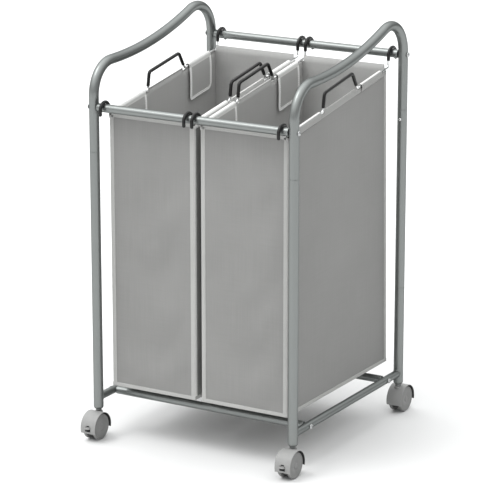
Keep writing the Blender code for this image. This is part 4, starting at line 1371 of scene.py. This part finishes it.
def make_bag(side, sign):
    body, name = f"{side}_bag_on_wires", f"{side}_bag"
    wires = sorted((sign * WIRE_INNER_X, sign * WIRE_OUTER_X))
    for (wire_side, _), x in zip(SIDES, wires):
        make_wire(side, wire_side, x)
    low_x, high_x = wires
    cloth = piece(f"{name}_cloth", bag_cloth(low_x, high_x), FABRIC, body, [name], sharp=60)
    sag(cloth, low_x, high_x)
    # The cloth's inner face takes the paler inside cloth: painted light inside the bag.
    cloth.data.materials.append(PAINTED_LIGHT_CLOTH[0])
    solid = cloth.modifiers.new("thickness", "SOLIDIFY")
    solid.thickness, solid.offset, solid.material_offset = CLOTH, 0.0, 1
    trims = []

    def trim(trim_name, bm, finish=TRIM, sharp=35):
        trims.append(piece(f"{name}_{trim_name}", bm, finish, body, sharp=sharp))
        return trims[-1]

    for (wire_side, outward), x in zip(SIDES, wires):
        for end, span, sign_y in (("front", FRONT_SLEEVE, -1), ("rear", REAR_SLEEVE, 1)):
            make_sleeve(f"{name}_{wire_side}_{end}_sleeve", body, x, outward, span)
            # The flap's binding takes the palest tape: painted light inside the bag.
            trim(f"{wire_side}_{end}_flap_tape", flap_binding(x, outward, *span), PAINTED_LIGHT_FLAP_TAPE, 50)
            seam = corner_tape(x, outward, corner_line(sign_y < 0), sign_y)
            tape = trim(f"{wire_side}_{end}_corner_tape", seam)
            # Painted light: the corner tape's faces across the gap between the bags take the paler tape.
            if faces_gap(x):
                paint_light_across_gap(tape, PAINTED_LIGHT_TAPE)
        between_sleeves, behind_sleeve = (FRONT_SLEEVE[1], REAR_SLEEVE[0]), (REAR_SLEEVE[1], BAG_REAR_TOP_Y)
        for place, span in (("middle", between_sleeves), ("rear", behind_sleeve)):
            trim(f"{wire_side}_{place}_top_tape", top_band(x, outward, *span), band_or_gap_painted_light(x), 50)
    trim("bottom_tape", bottom_tape(low_x, high_x))
    trim("front_hem_tape", hem(low_x, high_x, front_y, -1, FRONT_HEM_Z, TAPE_PROUD))
    trim("rear_hem_tape", hem(low_x, high_x, rear_y, 1, REAR_HEM_Z, CLOTH / 2 - STEP))
    trim("stitches", bag_stitches(low_x, high_x), THREAD, 80)


# ---- stage ----


def make_floor():
    bm = bmesh.new()
    bmesh.ops.create_grid(bm, x_segments=1, y_segments=1, size=14)
    obj = linked("studio_floor", mesh_from("studio_floor", bm))
    made, tree = new_material("white_floor")
    set_shader(tree, Base_Color=(0.72, 0.72, 0.72, 1), Roughness=0.85, Specular_IOR_Level=0.2)
    obj.data.materials.append(made)


def make_world():
    """White behind the object, and a soft graded sky for its light and reflections."""
    world = bpy.data.worlds.new("studio")
    bpy.context.scene.world = world
    world.use_nodes = True
    tree = world.node_tree
    shown = tree.nodes["Background"]
    output = tree.nodes["World Output"]
    shown.inputs["Color"].default_value = (1, 1, 1, 1)
    shown.inputs["Strength"].default_value = BACKGROUND
    direction = add_node(tree, "ShaderNodeTexCoord").outputs["Generated"]
    xyz = add_node(tree, "ShaderNodeSeparateXYZ", [(0, direction)]).outputs
    climb = between(tree, xyz[2], SKY_HORIZON, SKY_ZENITH)
    tilt = plus(tree, times(tree, xyz[0], -SKY_LEFT), times(tree, xyz[1], -SKY_FRONT))
    strength = times(tree, climb, plus(tree, tilt, 1.0))
    light = add_node(tree, "ShaderNodeBackground", [("Color", (0.99, 1.0, 1.0, 1)), ("Strength", strength)])
    seen = add_node(tree, "ShaderNodeLightPath").outputs["Is Camera Ray"]
    mix = add_node(tree, "ShaderNodeMixShader", [(0, seen), (1, light.outputs[0]), (2, shown.outputs[0])])
    tree.links.new(mix.outputs[0], output.inputs["Surface"])


def make_key():
    """One very soft light from above, in front and to the left."""
    data = bpy.data.lights.new("key", "SUN")
    data.energy, data.angle = KEY_STRENGTH, KEY_ANGLE
    obj = linked("key", data)
    obj.location = KEY_FROM
    obj.rotation_euler = (-KEY_FROM).to_track_quat("-Z", "Y").to_euler()


def make_camera():
    data = bpy.data.cameras.new("camera")
    data.lens, data.sensor_width = CAMERA_LENS, 36
    data.clip_end = 100
    obj = linked("camera", data)
    level = cos(CAMERA_PITCH)
    back = Vector((sin(CAMERA_YAW) * level, -cos(CAMERA_YAW) * level, sin(CAMERA_PITCH)))
    obj.location = CAMERA_TARGET + back * CAMERA_DISTANCE
    obj.rotation_euler = (-back).to_track_quat("-Z", "Y").to_euler()
    bpy.context.scene.camera = obj


def make_stage():
    make_floor()
    make_world()
    make_key()
    make_camera()
    bpy.context.scene.view_settings.view_transform = "Standard"


def main():
    make_stage()
    make_frame()
    for corner, side_x, side_y in CORNERS:
        make_caster(corner, side_x, side_y)
    for side, sign in SIDES:
        make_bag(side, sign)
    bpy.context.view_layer.update()


main()
